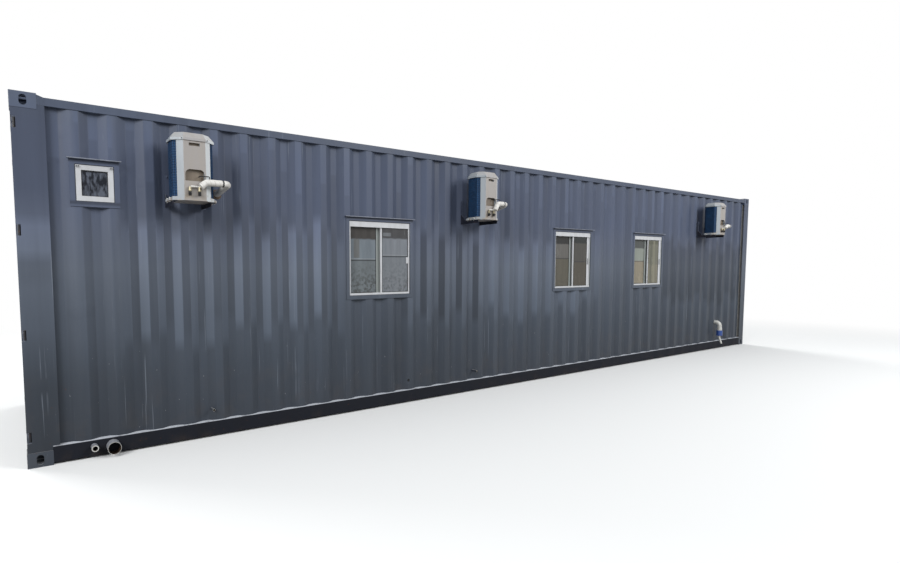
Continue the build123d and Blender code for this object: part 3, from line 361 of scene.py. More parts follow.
def slate_steel(name, lift=1.0, dents=0.004, ribbed=False, hood_shadowed=False, post=False):
    """Slate grey paint on the container's steel: a painted reflection by height, run with dust, dented and
    specked.
    """
    f = Finish(name, 0.5, specular=0.25)
    # A painted reflection: darker near the ground and lightest at mid height
    fade = f.bands(f.times(f.z, 1 / REFLECTION_HEIGHT), SLATE_REFLECTION)
    runs = f.noise(7.0, 6.0, stretch=(1, 1, 0.05), rough=0.6)
    patches = f.noise(0.55, 3.0, stretch=(1, 1, 0.6))
    tone = f.times(f.sway(runs, 0.86, 1.12), f.sway(patches, 0.9, 1.1))
    if ribbed:
        tone = f.times(tone, rib_tone(f))
    if post:
        tone = f.times(tone, post_tone(f))
    colour = f.scaled(fade, f.times(tone, lift))
    drips = f.times(f.blotches(52.0, 0.66, 0.70, detail=2.0, stretch=(1, 1, 0.012)),
                    f.blotches(1.6, 0.48, 0.6, stretch=(1, 1, 1.2)))
    colour = f.stain(colour, drips, 0.35, shade(132, 140, 152))
    scuffs = f.times(f.blotches(48.0, 0.73, 0.76, detail=3.0, stretch=(1, 1, 0.5)), f.span(f.z, 1.2, 0.7))
    colour = f.stain(colour, scuffs, 0.6, shade(150, 152, 154))
    splash = f.times(f.span(f.z, 0.9, 0.12), f.blotches(5.0, 0.5, 0.72, detail=8.0))
    colour = f.stain(colour, splash, 0.22, shade(84, 76, 70))
    colour = f.dusted(colour, f.noise(9.0, 5.0), shade(150, 150, 152), 0.5, 0.85)
    # A painted shadow of each hood, a soft dark band on the surround under it
    if hood_shadowed:
        for top in HOOD_HEIGHTS:
            colour = f.scaled(colour, f.less(1.0, f.within(f.z, top - HOOD_SHADOW_BAND, top, 0.008, 0.45)))
    rust = f.times(f.blotches(38.0, 0.70, 0.76, detail=4.0), f.span(f.z, 1.1, 0.0, 0.15, 0.9))
    colour = f.blend(rust, colour, shade(84, 50, 34))
    waves = f.relief(f.noise(2.6, 2.0, stretch=(1, 1, 0.7)), dents)
    waves = f.relief(f.blotches(4.6, 0.64, 0.80, detail=1.0), dents, 0.5, waves)
    grain = f.relief(f.noise(260.0, 2.0), 0.0004, 0.35, waves)
    return f.wear(colour, f.span(runs, 0.25, 0.75, 0.42, 0.62), grain)


# The bottom rail's upper edge is pale, worn paint and a painted highlight, from and to these distances under
# its top
PALE_EDGE_WEAR_AND_HIGHLIGHT = (0.009, 0.005)


def underbody_black():
    """Near black paint on the bottom rails: a pale upper edge, worn and painted highlight; some mud and rust
    specks.
    """
    f = Finish("underbody_black", 0.7, specular=0.15)
    runs = f.noise(6.0, 5.0, stretch=(1, 1, 0.2))
    colour = f.blend(runs, shade(14, 15, 21), shade(31, 34, 42))
    mud = f.times(f.span(f.z, 0.12, 0.02), f.blotches(7.0, 0.5, 0.7, detail=8.0))
    colour = f.stain(colour, mud, 0.22, shade(70, 60, 52))
    # Dust on the faces that look up, brightened as a painted highlight too
    colour = f.dusted(colour, f.span(f.noise(9.0, 5.0), 0.2, 0.6, 0.6, 1.0), shade(186, 188, 194), 0.4, 0.8)
    # A pale upper edge: worn paint and a painted highlight
    edge = f.span(f.z, RAIL_TOP - PALE_EDGE_WEAR_AND_HIGHLIGHT[0], RAIL_TOP - PALE_EDGE_WEAR_AND_HIGHLIGHT[1])
    edge = f.times(edge, f.blotches(5.0, 0.30, 0.42, detail=5.0))
    colour = f.stain(colour, edge, 0.85, shade(186, 190, 198))
    rust = f.blotches(30.0, 0.68, 0.74, detail=5.0)
    colour = f.stain(colour, rust, 0.5, shade(84, 48, 32))
    return f.wear(colour, f.sway(runs, 0.6, 0.85), f.relief(f.noise(40.0, 6.0), 0.0015))


# The small window's frame is told from the others by how far right of its middle it ends, and its top bar,
# darker with a painted shadow of the hood, by its height over that middle
SMALL_FRAME_END, SMALL_TOP_BAR_SHADOW = (0.3, 0.2), (0.09, 0.11)


def white_frame():
    """White powder coat on the window frames and the entrance door, dusty in patches; painted shade on the
    stiles behind glass and on the closing jambs, and a painted shadow of the hood on the small window's top
    bar."""
    f = Finish("white_powder_coat", 0.42)
    dust = f.blotches(14.0, 0.42, 0.75, detail=7.0, stretch=(1, 1, 0.5))
    colour = f.stain(shade(191, 193, 197), dust, 0.4, shade(158, 157, 154))
    x, z = SMALL_WINDOW
    # The small window's frame a little darker, and its top bar darker still: a painted shadow of its hood
    small = f.span(f.x, x + SMALL_FRAME_END[0], x + SMALL_FRAME_END[1])
    hood_shadow_on_bar = f.span(f.z, z + SMALL_TOP_BAR_SHADOW[0], z + SMALL_TOP_BAR_SHADOW[1], 0.95, 0.84)
    colour = f.blend(small, colour, f.scaled(colour, hood_shadow_on_bar))
    glazed = f.within(f.z, PANE_LOW, PANE_HIGH, 0.001)
    behind = f.times(f.within(f.sum("ABSOLUTE", f.y), *SHADED_STILE_DEPTHS, 0.0005), glazed)
    # Painted shade: the stile behind the glass, and the closing jambs of windows 2 and 3, are darker
    dull = 0.0
    for number, centre in enumerate(WINDOW_CENTRES):
        shaded_parts = [(behind, SHADED_STILE_SIDES)] + ([(glazed, SHADED_JAMB_SIDES)] if number else [])
        for where, (left, right) in shaded_parts:
            dull = f.plus(dull, f.times(where, f.within(f.x, centre + left, centre + right, 0.001)))
    colour = f.blend(dull, colour, shade(146, 152, 150))
    colour = f.dusted(colour, f.noise(20.0, 5.0), shade(148, 142, 132))
    return f.wear(colour, f.span(dust, 0.0, 1.0, 0.36, 0.6), f.relief(f.noise(420.0, 2.0), 0.0002, 0.4))


# What each pane shows: painted reflections over a mottled film of dust. Its window, whether it is the rear
# one, the heights of its dark head and of its level line, its head, upper and lower colours, how far its foot
# is mottled, and how dark and how light the two edges of the line are
PANE_DUST_AND_REFLECTIONS = [
    (0, 1, 1.878, 1.653, (70, 67, 65), (120, 129, 137), (112, 119, 123), 0.75, 0.75, 0.4),
    (0, 0, 1.893, 1.696, (74, 74, 76), (128, 133, 140), (122, 127, 133), 0.45, 0.75, 0.4),
    (1, 1, 1.900, 1.694, (46, 46, 46), (100, 98, 95), (93, 89, 78), 0.25, 0.75, 0.0),
    (1, 0, 1.915, 1.650, (42, 46, 46), (76, 74, 70), (80, 75, 66), 0.2, 0.75, 0.0),
    (2, 1, 1.868, 1.662, (76, 80, 78), (142, 148, 140), (140, 132, 114), 0.15, 0.6, 0.0),
    (2, 0, 1.940, 1.60, (92, 92, 78), (110, 109, 96), (122, 118, 102), 0.2, 0.0, 0.0),
]
# Duller or brighter patches of painted reflection in the panes: their ends along the wall, their heights,
# colour and share
PANE_REFLECTION_PATCHES = [
    (-3.065, -2.992, 1.670, 1.872, (104, 102, 98), 0.7),
    (-2.708, -2.597, 1.911, 1.951, (118, 122, 126), 0.9),
    (2.637, 2.706, 1.300, 1.990, (82, 84, 70), 0.6),
    (2.740, 2.792, 1.300, 1.990, (142, 140, 120), 0.6),
]
BETWEEN_PANES = 1.176
# Heights in a pane's painted reflection: how softly its two tones meet, how far the line's dark edge reaches
# under it and its light edge over it, how softly the head begins, and how high over the pane's foot the
# mottling is full
TONES_MEET, DARK_EDGE, LIGHT_EDGE, HEAD_SOFT, MOTTLED_TO = 0.004, 0.016, 0.010, 0.018, 0.05


def window_glass():
    """Clear panes under dust and painted reflections: a painted dark head and level line, and a mottled foot
    of dust.
    """
    f = Finish("window_glass", 0.2, specular=0.25)
    f.shader.inputs["Transmission Weight"].default_value = 0.2
    f.shader.inputs["IOR"].default_value = 1.45
    streaks = f.noise(16.0, 4.0, stretch=(1, 1, 0.12))
    specks = f.blotches(30.0, 0.46, 0.60, detail=7.0)
    # Where no pane below is named, as in the small window: a blotched dark film, dust and painted reflection
    dust_and_reflection = f.blend(f.blotches(26.0, 0.44, 0.58, detail=6.0, stretch=(1, 1, 0.4)),
                   shade(14, 20, 31), shade(88, 94, 106))
    deep = f.sum("ABSOLUTE", f.y)
    edge = f.plus(f.z, f.times(streaks, 0.03))
    # Each pane's painted reflection: a dark head, two tones meeting at a level line with a dark and a light
    # edge
    for number, rear, head_at, line, head, upper, lower, mottled, dark, light in PANE_DUST_AND_REFLECTIONS:
        centre = WINDOW_CENTRES[number]
        sheet = f.sum("LESS_THAN" if rear else "GREATER_THAN", deep, BETWEEN_PANES)
        here = f.times(f.within(f.x, centre - WINDOW_HALF, centre + WINDOW_HALF, 0.001), sheet)
        colour = f.blend(f.span(f.z, line - TONES_MEET, line + TONES_MEET), shade(*lower), shade(*upper))
        foot = f.times(f.span(f.z, line, PANE_LOW + MOTTLED_TO), specks)
        colour = f.stain(colour, foot, mottled, shade(64, 64, 62))
        colour = f.blend(f.span(edge, head_at, head_at + HEAD_SOFT), colour, shade(*head))
        under = f.within(f.z, line - DARK_EDGE, line, 0.003, dark)
        colour = f.blend(under, colour, shade(52, 54, 58))
        over = f.within(f.z, line + 0.002, line + LIGHT_EDGE, 0.003, light)
        colour = f.blend(over, colour, shade(176, 182, 184))
        dust_and_reflection = f.blend(here, dust_and_reflection, colour)
    for left, right, low, high, tone, share in PANE_REFLECTION_PATCHES:
        patch = f.times(f.within(f.x, left, right, 0.006, share), f.within(f.z, low, high, 0.004))
        dust_and_reflection = f.blend(patch, dust_and_reflection, shade(*tone))
    return f.wear(f.scaled(dust_and_reflection, f.sway(streaks, 0.86, 1.14)), f.sway(streaks, 0.14, 0.3))


def unit_enamel(name, tone):
    """Off white enamel on the condensing units, with grime runs and settled dust; painted light and shade by
    facing.
    """
    f = Finish(name, 0.4)
    runs = f.noise(18.0, 6.0, stretch=(1, 1, 0.12))
    colour = f.stain(tone, f.span(runs, 0.45, 0.8), 0.45, shade(146, 138, 124))
    # Painted light and shade: faces turned away from the cargo doors lighter, those turned to them darker
    colour = f.blend(f.span(f.face_x, 0.3, 0.6, 0.0, 0.9), colour, shade(212, 217, 220))
    colour = f.blend(f.span(f.face_x, -0.3, -0.6, 0.0, 0.9), colour, shade(148, 156, 163))
    colour = f.dusted(colour, f.span(f.noise(24.0, 6.0), 0.35, 0.7, 0.1, 0.8), shade(142, 134, 122), 0.4, 0.9)
    foot = f.times(f.span(f.z, UNIT_BOTTOM + 0.12, UNIT_BOTTOM), f.blotches(22.0, 0.46, 0.62, detail=6.0))
    colour = f.stain(colour, foot, 0.5, shade(150, 132, 104))
    colour = f.stain(colour, f.blotches(120.0, 0.72, 0.78, detail=3.0), 0.5, shade(110, 92, 74))
    return f.wear(colour, f.sway(runs, 0.32, 0.52), f.relief(f.noise(500.0, 2.0), 0.0002, 0.3))


BLADE_PITCH, TUBE_PITCH = 0.0042, 0.021


def fin_coil():
    """Blue coated fins: fine upright blades crossed by tube rows."""
    f = Finish("blue_coil", 0.55, metallic=0.1, specular=0.25)
    across = f.plus(f.times(f.x, f.sum("ABSOLUTE", f.face_y)), f.times(f.y, f.sum("ABSOLUTE", f.face_x)))
    blades = f.waves(across, BLADE_PITCH)
    rows = f.waves(f.z, TUBE_PITCH)
    dirt = f.noise(16.0, 5.0)
    colour = f.blend(f.span(blades, -1, 1), shade(4, 31, 60), shade(18, 60, 97))
    colour = f.scaled(colour, f.times(f.span(rows, -1, 1, 0.8, 1.12), f.sway(dirt, 0.8, 1.15)))
    return f.wear(colour, None, f.relief(blades, 0.0012, 0.8, f.relief(rows, 0.002, 0.5)))


def moulded_dark(name, tone, roughness=0.5, dusty=0.6):
    """Dark moulded plastic or rubber, faintly grained and dusty on top."""
    f = Finish(name, roughness, specular=0.35)
    grime = f.noise(30.0, 5.0)
    colour = f.dusted(f.scaled(tone, f.sway(grime, 0.75, 1.3)), f.times(grime, dusty), shade(96, 92, 86))
    return f.wear(colour, f.sway(grime, roughness - 0.1, roughness + 0.12),
                  f.relief(f.noise(600.0, 2.0), 0.0002, 0.4))


def worn_steel(name, tone, rusty=0.35):
    """Painted steelwork with rust where the paint has gone."""
    f = Finish(name, 0.5, metallic=0.2, specular=0.4)
    grime = f.noise(22.0, 6.0)
    rust = f.blotches(34.0, 0.60, 0.70, detail=7.0, shift=(3, 1, 2))
    colour = f.stain(f.scaled(tone, f.sway(grime, 0.75, 1.25)), rust, rusty, shade(104, 60, 36))
    colour = f.dusted(colour, f.times(grime, 0.5), shade(112, 106, 98))
    return f.wear(colour, f.sway(grime, 0.4, 0.65), f.relief(f.noise(90.0, 5.0), 0.0006))


def bare_metal(name, dull, bright):
    """Plated or bare metal on bolts, nuts and valves, spotted with rust."""
    f = Finish(name, 0.42, metallic=0.6)
    spangle = f.noise(240.0, 3.0)
    rust = f.blotches(60.0, 0.62, 0.72, detail=4.0)
    colour = f.stain(f.blend(spangle, dull, bright), rust, 0.5, shade(110, 70, 44))
    return f.wear(colour, f.span(spangle, 0.2, 0.8, 0.3, 0.55), f.relief(spangle, 0.0002, 0.5))


TAPE_TURN = 0.034


def wrapping_tape():
    """White tape wound round the pipe bundle in overlapping turns."""
    f = Finish("white_wrapping_tape", 0.5)
    along = f.plus(f.times(f.x, 0.9), f.plus(f.times(f.y, 0.5), f.times(f.z, 0.35)))
    turns = f.every(along, TAPE_TURN)
    grime = f.noise(24.0, 6.0)
    colour = f.blend(f.span(turns, 0.0, 0.2), shade(182, 178, 172), shade(214, 212, 208))
    colour = f.scaled(colour, f.span(grime, 0.3, 0.75, 1.05, 0.8))
    return f.wear(colour, f.sway(grime, 0.4, 0.62), f.relief(turns, 0.0008, 0.4))


def pipe_plastic(name, tone, dirt=0.35):
    """Moulded pipe plastic, splashed and scuffed."""
    f = Finish(name, 0.34)
    splash = f.blotches(20.0, 0.45, 0.7, detail=7.0)
    scuffs = f.noise(60.0, 4.0, stretch=(1, 1, 4))
    colour = f.scaled(f.stain(tone, splash, dirt, shade(112, 92, 74)), f.sway(scuffs, 0.92, 1.06))
    return f.wear(colour, f.span(splash, 0.0, 1.0, 0.3, 0.6), f.relief(scuffs, 0.0002, 0.4))


def hardened_filler():
    """Brown grey filler pressed round a pipe where it goes into the wall."""
    f = Finish("pipe_hole_filler", 0.8, specular=0.2)
    lumps = f.noise(70.0, 6.0)
    colour = f.blend(f.sway(lumps), shade(70, 58, 50), shade(132, 116, 100))
    return f.wear(colour, None, f.relief(lumps, 0.004))


PLYWOOD_SHEET, LINING_BOARD = 1.2, 0.2


def floor_plywood():
    """Sealed plywood sheets, marked by use, with their grain along the room."""
    f = Finish("floor_plywood", 0.45)
    grain = f.noise(5.0, 8.0, stretch=(0.5, 9, 1), rough=0.65)
    colour = f.blend(grain, shade(112, 80, 52), shade(176, 138, 98))
    seam = f.sum("LESS_THAN", f.every(f.x, PLYWOOD_SHEET), 0.004)
    colour = f.stain(colour, seam, 0.8, shade(52, 38, 28))
    marks = f.blotches(3.0, 0.5, 0.7, detail=6.0)
    colour = f.stain(colour, marks, 0.25, shade(96, 84, 72))
    return f.wear(colour, f.span(marks, 0, 1, 0.38, 0.6), f.relief(grain, 0.0008, 0.5))


def lining_panel():
    """White boards with upright tongue and groove joints."""
    f = Finish("white_lining_board", 0.55)
    groove = f.sum("LESS_THAN", f.every(f.x, LINING_BOARD), 0.03)
    grime = f.noise(1.4, 5.0)
    colour = f.blend(f.sway(grime), shade(196, 195, 190), shade(216, 215, 211))
    colour = f.stain(colour, groove, 0.6, shade(120, 118, 112))
    return f.wear(colour, f.sway(grime, 0.5, 0.65), f.relief(f.less(1.0, groove), 0.002, 0.8))


FINISH = {
    "wall": slate_steel("slate_wall_paint", ribbed=True),
    "steelwork": slate_steel("slate_steelwork_paint", 0.95, 0.0015),
    "post": slate_steel("slate_post_paint", 0.95, 0.0015, post=True),
    "casting": slate_steel("slate_casting_paint", 1.2, 0.0015),
    "trim": slate_steel("slate_trim_paint", 1.0, 0.0008, hood_shadowed=True),
    # A painted highlight: the hoods' rolled front edges lighter than the slate trims they belong to
    "hood_edge": worn_steel("slate_hood_edge_highlight", shade(118, 123, 135), 0.1),
    "rail": underbody_black(),
    "frame": white_frame(),
    "glass": window_glass(),
    "cabinet": unit_enamel("unit_panel_enamel", shade(149, 144, 141)),
    "cover": unit_enamel("unit_cover_enamel", shade(156, 154, 155)),
    # Darker and browner in the pocket: dirt and painted shade
    "pocket": unit_enamel("unit_pocket_shade_and_dirt", shade(105, 93, 80)),
    "coil": fin_coil(),
    "guard": moulded_dark("guard_wire_coating", shade(44, 45, 48)),
    "fan": moulded_dark("fan_plastic", shade(38, 39, 42)),
    "rubber": moulded_dark("black_rubber", shade(20, 21, 23), 0.6),
    "cap": moulded_dark("black_valve_cap", shade(13, 13, 15), 0.4),
    # Dark sealant round the frames, dark as a painted shade of the trims' reveals
    "sealant_shade": moulded_dark("dark_sealant_and_reveal_shade", shade(44, 47, 54), 0.6),
    "cable": moulded_dark("black_cable_sheath", shade(18, 18, 21), 0.45, 0.15),
    "bracket": worn_steel("bracket_paint", shade(24, 27, 38)),
    "gear": worn_steel("door_gear_paint", shade(92, 98, 112), 0.25),
    # Dark steel: a painted shade on the hinge pins in their notches, and the catch screws' own colour
    "hinge": worn_steel("dark_steel_and_notch_shade", shade(30, 31, 36), 0.5),
    "zinc": bare_metal("zinc_plate", shade(120, 122, 124), shade(178, 178, 176)),
    "brass": bare_metal("valve_brass", shade(112, 104, 84), shade(168, 160, 134)),
    "tape": wrapping_tape(),
    "pipe": pipe_plastic("white_pipe_plastic", shade(196, 196, 192)),
    "waste_pipe": pipe_plastic("grey_waste_pipe", shade(142, 145, 152), 0.3),
    "pipe_inside": pipe_plastic("pipe_inside_stain", shade(40, 31, 25), 0.6),
    "coupling": pipe_plastic("blue_coupling_plastic", shade(36, 70, 138), 0.2),
    "filler": hardened_filler(),
    "plywood": floor_plywood(),
    "lining": lining_panel(),
}


def stand(shape, name, materials):
    """A shape as an object of the scene."""
    mesh = bpy.data.meshes.new(name)
    shape.to_mesh(mesh)
    shape.free()
    for material in materials:
        mesh.materials.append(material)
    made = bpy.data.objects.new(name, mesh)
    bpy.context.scene.collection.objects.link(made)
    return made


def place_piece(shape, name, finishes, instead=None):
    """Makes a finished shape an object that rides on the container."""
    piece = stand(shape, name, [FINISH[key] for key in finishes])
    piece.data.shade_smooth()
    piece.data.set_sharp_from_angle(angle=math.radians(35.0))
    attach(piece, "root")
    if instead:
        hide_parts(instead)
    return piece


def joined_copy(node):
    """A copy of a CAD node with its loose triangles joined into whole faces."""
    shape = bmesh.new()
    shape.from_mesh(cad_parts[node].data)
    bmesh.ops.remove_doubles(shape, verts=shape.verts, dist=0.00002)
    bmesh.ops.dissolve_limit(shape, angle_limit=math.radians(0.4), verts=shape.verts, edges=shape.edges,
                             use_dissolve_boundaries=False, delimit=set())
    return shape


def round_off(shape, parts, width, segments=2, affect="EDGES", clamp=True):
    """Bevels edges or corners to a round."""
    bmesh.ops.bevel(shape, geom=parts, offset=width, offset_type="OFFSET", segments=segments,
                    profile=0.5, affect=affect, clamp_overlap=clamp, material=-1)


def ease(shape, width, low=30.0, high=180.0, segments=2, pick=None, clamp=True):
    """Rounds the edges whose faces meet between two angles."""
    edges = []
    for edge in shape.edges:
        if len(edge.link_faces) != 2:
            continue
        bend = math.degrees(edge.calc_face_angle(0.0))
        if low < bend < high and (pick is None or pick(edge)):
            edges.append(edge)
    if edges:
        round_off(shape, edges, width, segments, clamp=clamp)


def settle_shading(piece):
    """Large flat faces keep their own light beside their rounded edges."""
    modifier = piece.modifiers.new("flat_faces", "WEIGHTED_NORMAL")
    modifier.mode = "FACE_AREA"
    modifier.weight = 80
    modifier.keep_sharp = True


def eased_piece(node, finishes, width, low=30.0, paint=None, shape_more=None, shape_first=None):
    """A CAD node with rounded edges; paint says which of its finishes a face takes."""
    shape = joined_copy(node)
    if shape_first:
        shape_first(shape)
    ease(shape, width, low)
    if shape_more:
        shape_more(shape)
    if paint:
        for face in shape.faces:
            face.material_index = paint(face)
    settle_shading(place_piece(shape, node + "_finished", finishes, instead=node))


# The sides of everything that is cut out of the walls, and how near to one a fold isn't pressed
OPENINGS = [(centre, WINDOW_HALF + TRIM_WIDTH) for centre in WINDOW_CENTRES]
OPENINGS.append((SMALL_WINDOW[0], SMALL_HALF_WIDTH + TRIM_WIDTH))
OPENINGS.append((ENTRANCE_CENTRE, ENTRANCE_HALF + ENTRANCE_JAMB))
OPENING_SIDES = [centre + side * half for centre, half in OPENINGS for side in (-1, 1)]
CUT_EDGE_REACH = 0.016


def upright_fold(edge):
    """A fold of the corrugated sheet away from the openings' sides, as against a cut edge."""
    a, b = edge.verts
    upright = abs(a.co.z - b.co.z) > 0.02 and (a.co - b.co).xy.length < SLACK
    return upright and all(abs(a.co.x - side) > CUT_EDGE_REACH for side in OPENING_SIDES)


def corrugated_wall(node):
    """Side or end wall: every fold pressed to a soft radius."""
    shape = joined_copy(node)
    ease(shape, 0.007, 12.0, 60.0, segments=3, pick=upright_fold, clamp=False)
    settle_shading(place_piece(shape, node + "_pressed", ["wall"], instead=node))


for name in ("side_wall_near", "side_wall_far", "end_wall"):
    corrugated_wall(name)

for name in ("castings_top", "castings_bottom"):
    eased_piece(name, ["casting"], 0.003)
for name in ("door_post_near", "door_post_far"):
    eased_piece(name, ["post"], 0.0025)
for name in ("front_post_near", "front_post_far", "top_rail_near", "top_rail_far", "door_header",
             "door_threshold", "end_rail_top", "end_rail_bottom", "cargo_door_near", "cargo_door_far"):
    eased_piece(name, ["steelwork"], 0.0025)
for name in ("window_trims_near", "window_trims_far"):
    eased_piece(name, ["trim"], 0.001)
for name in ("bottom_rail_near", "bottom_rail_far"):
    eased_piece(name, ["rail"], 0.002)
for name in ("window_frames_far", "small_window_frame", "entrance_frame", "entrance_door"):
    eased_piece(name, ["frame"], 0.002)


def move_stiles(shape):
    """Moves the meeting stiles of the near windows and the pane edges they hold."""
    (fore_front, fore_back), (fore_left, fore_right) = FORE_STILE_DEPTHS, FORE_STILE_SIDES
    for vert in shape.verts:
        across = min((vert.co.x - centre for centre in WINDOW_CENTRES), key=abs)
        if vert.co.y > REAR_STILE_FROM and abs(across - REAR_PANE_EDGE) < SLACK:
            vert.co.x += REAR_MOVE
        elif fore_front < vert.co.y < fore_back and fore_left < across < fore_right:
            vert.co.x += FORE_MOVE


for number in range(len(WINDOW_CENTRES)):
    eased_piece(f"window_{number + 1}_frame", ["frame"], 0.002, shape_first=move_stiles)
eased_piece("glass_near", ["glass"], 0.0008, shape_first=move_stiles)


def unit_cabinet(node, centre):
    """Base pan and panel; the grip and the pocket are darker inside, dirt and painted shade."""
    def paint(face):
        middle = face.calc_center_median()
        behind = UNIT_FRONT + POCKET_FRONT < middle.y < UNIT_FRONT + POCKET_BACK
        beside = abs(middle.x - centre) < POCKET_SIDE
        return int(behind and beside and middle.z > UNIT_BOTTOM + POCKET_LOW)

    eased_piece(node, ["cabinet", "pocket"], 0.0015, paint=paint)


def unit_cover(node, centre):
    """Cover with a softly rounded dome; the guard over the fan is dark."""
    def on_guard(place):
        reach = math.hypot(place.x - centre, place.y - UNIT_Y)
        return reach < GUARD_RADIUS and place.z > UNIT_BOTTOM + GUARD_LOW

    def dome_edge(edge):
        low, high = sorted(vert.co.z - COVER_BOTTOM for vert in edge.verts)
        return high - low > DOME_RISE and low > COVER_LIP - SLACK and not on_guard(edge.verts[0].co)

    def round_dome(shape):
        ease(shape, DOME_ROUND, 14.0, 70.0, segments=4, pick=dome_edge)

    eased_piece(node, ["cover", "guard"], 0.003,
                paint=lambda face: int(on_guard(face.calc_center_median())), shape_more=round_dome)


for number, centre in enumerate(UNIT_CENTRES):
    unit_cabinet(f"condenser_{number + 1}_cabinet", centre)
    unit_cover(f"condenser_{number + 1}_cover", centre)


def drain_paint(face):
    """Grey outside, or wall paint on the short stubs; pale on the sawn rim, stained on the bore."""
    middle = face.calc_center_median()
    for x, z, radius in DRAINS:
        off = Vector((middle.x - x, 0, middle.z - z))
        if off.length < radius * 1.05:
            if face.normal.y < -0.5:
                return 0
            if face.normal.dot(off) < 0:
                return 2
            return 3 if radius < STUB_RADIUS else 1
    return 1


def inlet_paint(face):
    """Blue on the coupling."""
    return int(INLET_COUPLING[0] < face.calc_center_median().z < INLET_COUPLING[1] + SLACK)


def piping_paint(face):
    """Tape on the bundle, brass on the valves, black on the cable above the bundle."""
    middle = face.calc_center_median()
    number = min(range(len(UNIT_CENTRES)), key=lambda n: abs(UNIT_CENTRES[n] - middle.x))
    height = middle.z - UNIT_BOTTOM
    across = middle.x - UNIT_CENTRES[number]
    if across < CABLE_SIDE and height > BUNDLE_HEIGHTS[number] + BUNDLE_RADIUS + 0.0001:
        return 2
    return int(height < VALVE_TOP and across < VALVE_SIDE)


def strap_place(number):
    """Where along the wall a unit's strap holds its bundle."""
    return UNIT_CENTRES[number] + BUNDLE_SIDES[number] - STRAP_BEFORE_BEND


def pinch_under_straps(shape):
    """Draws the wrapping in where a strap holds the bundle."""
    reach, depth = 0.009, 0.0025
    for number in range(len(UNIT_CENTRES)):
        x = strap_place(number)
        axis_z = UNIT_BOTTOM + BUNDLE_HEIGHTS[number]
        for off in (-0.014, -0.008, 0.008, 0.014):
            bmesh.ops.bisect_plane(shape, geom=shape.verts[:] + shape.edges[:] + shape.faces[:],
                                   plane_co=(x + off, 0, 0), plane_no=(1, 0, 0))
        for vert in shape.verts:
            off = Vector((0, vert.co.y - BUNDLE_Y, vert.co.z - axis_z))
            if abs(vert.co.x - x) < reach and off.length < BUNDLE_RADIUS * 1.1:
                vert.co -= off.normalized() * depth


def bracket_paint(face):
    """The legs that lie along the wall were painted over with it."""
    return int(face.calc_center_median().y > BRACKET_LEG_FRONT)


def gear_paint(face):
    """The hinge pins are dark in their notches, a painted shade."""
    return int(abs(face.calc_center_median().y) > HINGE_PINS_FROM)


eased_piece("drain_pipes", ["pipe", "waste_pipe", "pipe_inside", "steelwork"], 0.001,
            paint=drain_paint)
eased_piece("water_inlet", ["pipe", "coupling"], 0.002, paint=inlet_paint)
eased_piece("condenser_brackets", ["bracket", "steelwork"], 0.001, paint=bracket_paint)
eased_piece("condenser_piping", ["tape", "brass", "cable"], 0.001, low=60.0,
            paint=piping_paint, shape_more=pinch_under_straps)
eased_piece("cargo_door_gear", ["gear", "hinge"], 0.0015, paint=gear_paint)

# The CAD nodes that stay as they are, by the finish they take
CARRIED_OVER = {
    "plywood": ["floor"],
    "rail": ["floor_beams"],
    "lining": ["lining_near", "lining_far", "lining_end", "ceiling"],
    "steelwork": ["roof"],
    "glass": ["glass_far"],
    "coil": ["condenser_1_coil", "condenser_2_coil", "condenser_3_coil"],
    "fan": ["condenser_fans"],
}
for key, nodes in CARRIED_OVER.items():
    for node in nodes:
        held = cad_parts[node]
        if not held.material_slots:
            held.data.materials.append(FINISH[key])
        for held_slot in held.material_slots:
            held_slot.material = FINISH[key]


def faces_of(verts):
    return list({face for vert in verts for face in vert.link_faces})


def end_face(faces, way):
    """The face that lies furthest along a way."""
    return max(faces, key=lambda face: face.calc_center_median().dot(way))


def paint_faces(faces, paint):
    for face in faces:
        face.material_index = paint


def closed_faces(shape, before):
    """The faces that weren't there before, turned to point outwards."""
    made = [face for face in shape.faces if face not in before]
    bmesh.ops.recalc_face_normals(shape, faces=made)
    return made


def pull_out(shape, faces, way):
    """Extrudes faces, so that they become a plate as thick as the way is long."""
    out = bmesh.ops.extrude_face_region(shape, geom=faces)["geom"]
    moved = [part for part in out if isinstance(part, bmesh.types.BMVert)]
    bmesh.ops.translate(shape, verts=moved, vec=way)


def add_cone(shape, foot, way, radius, tip, length, sides, paint):
    """A bar that stands on its foot and may taper to its tip; gives back its faces."""
    aim = way.to_track_quat("Z", "Y").to_matrix().to_4x4()
    middle = Matrix.Translation(Vector(foot) + way * length / 2)
    made = bmesh.ops.create_cone(shape, cap_ends=True, segments=sides, radius1=radius, radius2=tip,
                                 depth=length, matrix=middle @ aim)
    faces = faces_of(made["verts"])
    paint_faces(faces, paint)
    return faces


def add_round(shape, foot, way, radius, length, sides=20, tip=None, chamfer=0.0, paint=0):
    """A round or many sided bar that stands on its foot; its free end may be narrower or chamfered."""
    faces = add_cone(shape, foot, way, radius, radius if tip is None else tip, length, sides, paint)
    if chamfer:
        round_off(shape, list(end_face(faces, way).edges), chamfer)


def add_bolt(shape, foot, way, size, paint=0):
    """A hexagon head on a washer, with the end of its thread."""
    foot = Vector(foot)
    for rise, radius, length, sides, chamfer in ((0, 1.15, 0.16, 24, 0.05), (0.16, 0.8, 0.6, 6, 0.12),
                                                 (0.7, 0.42, 0.3, 12, 0.08)):
        add_round(shape, foot + way * size * rise, way, size * radius, size * length, sides,
                  chamfer=size * chamfer, paint=paint)


def add_screw(shape, foot, way, radius, paint=0):
    """A pan head screw with the recess for its driver."""
    faces = add_cone(shape, foot, way, radius, radius * 0.7, radius * 0.56, 16, paint)
    bmesh.ops.inset_individual(shape, faces=[end_face(faces, way)], thickness=radius * 0.4,
                               depth=-radius * 0.3)


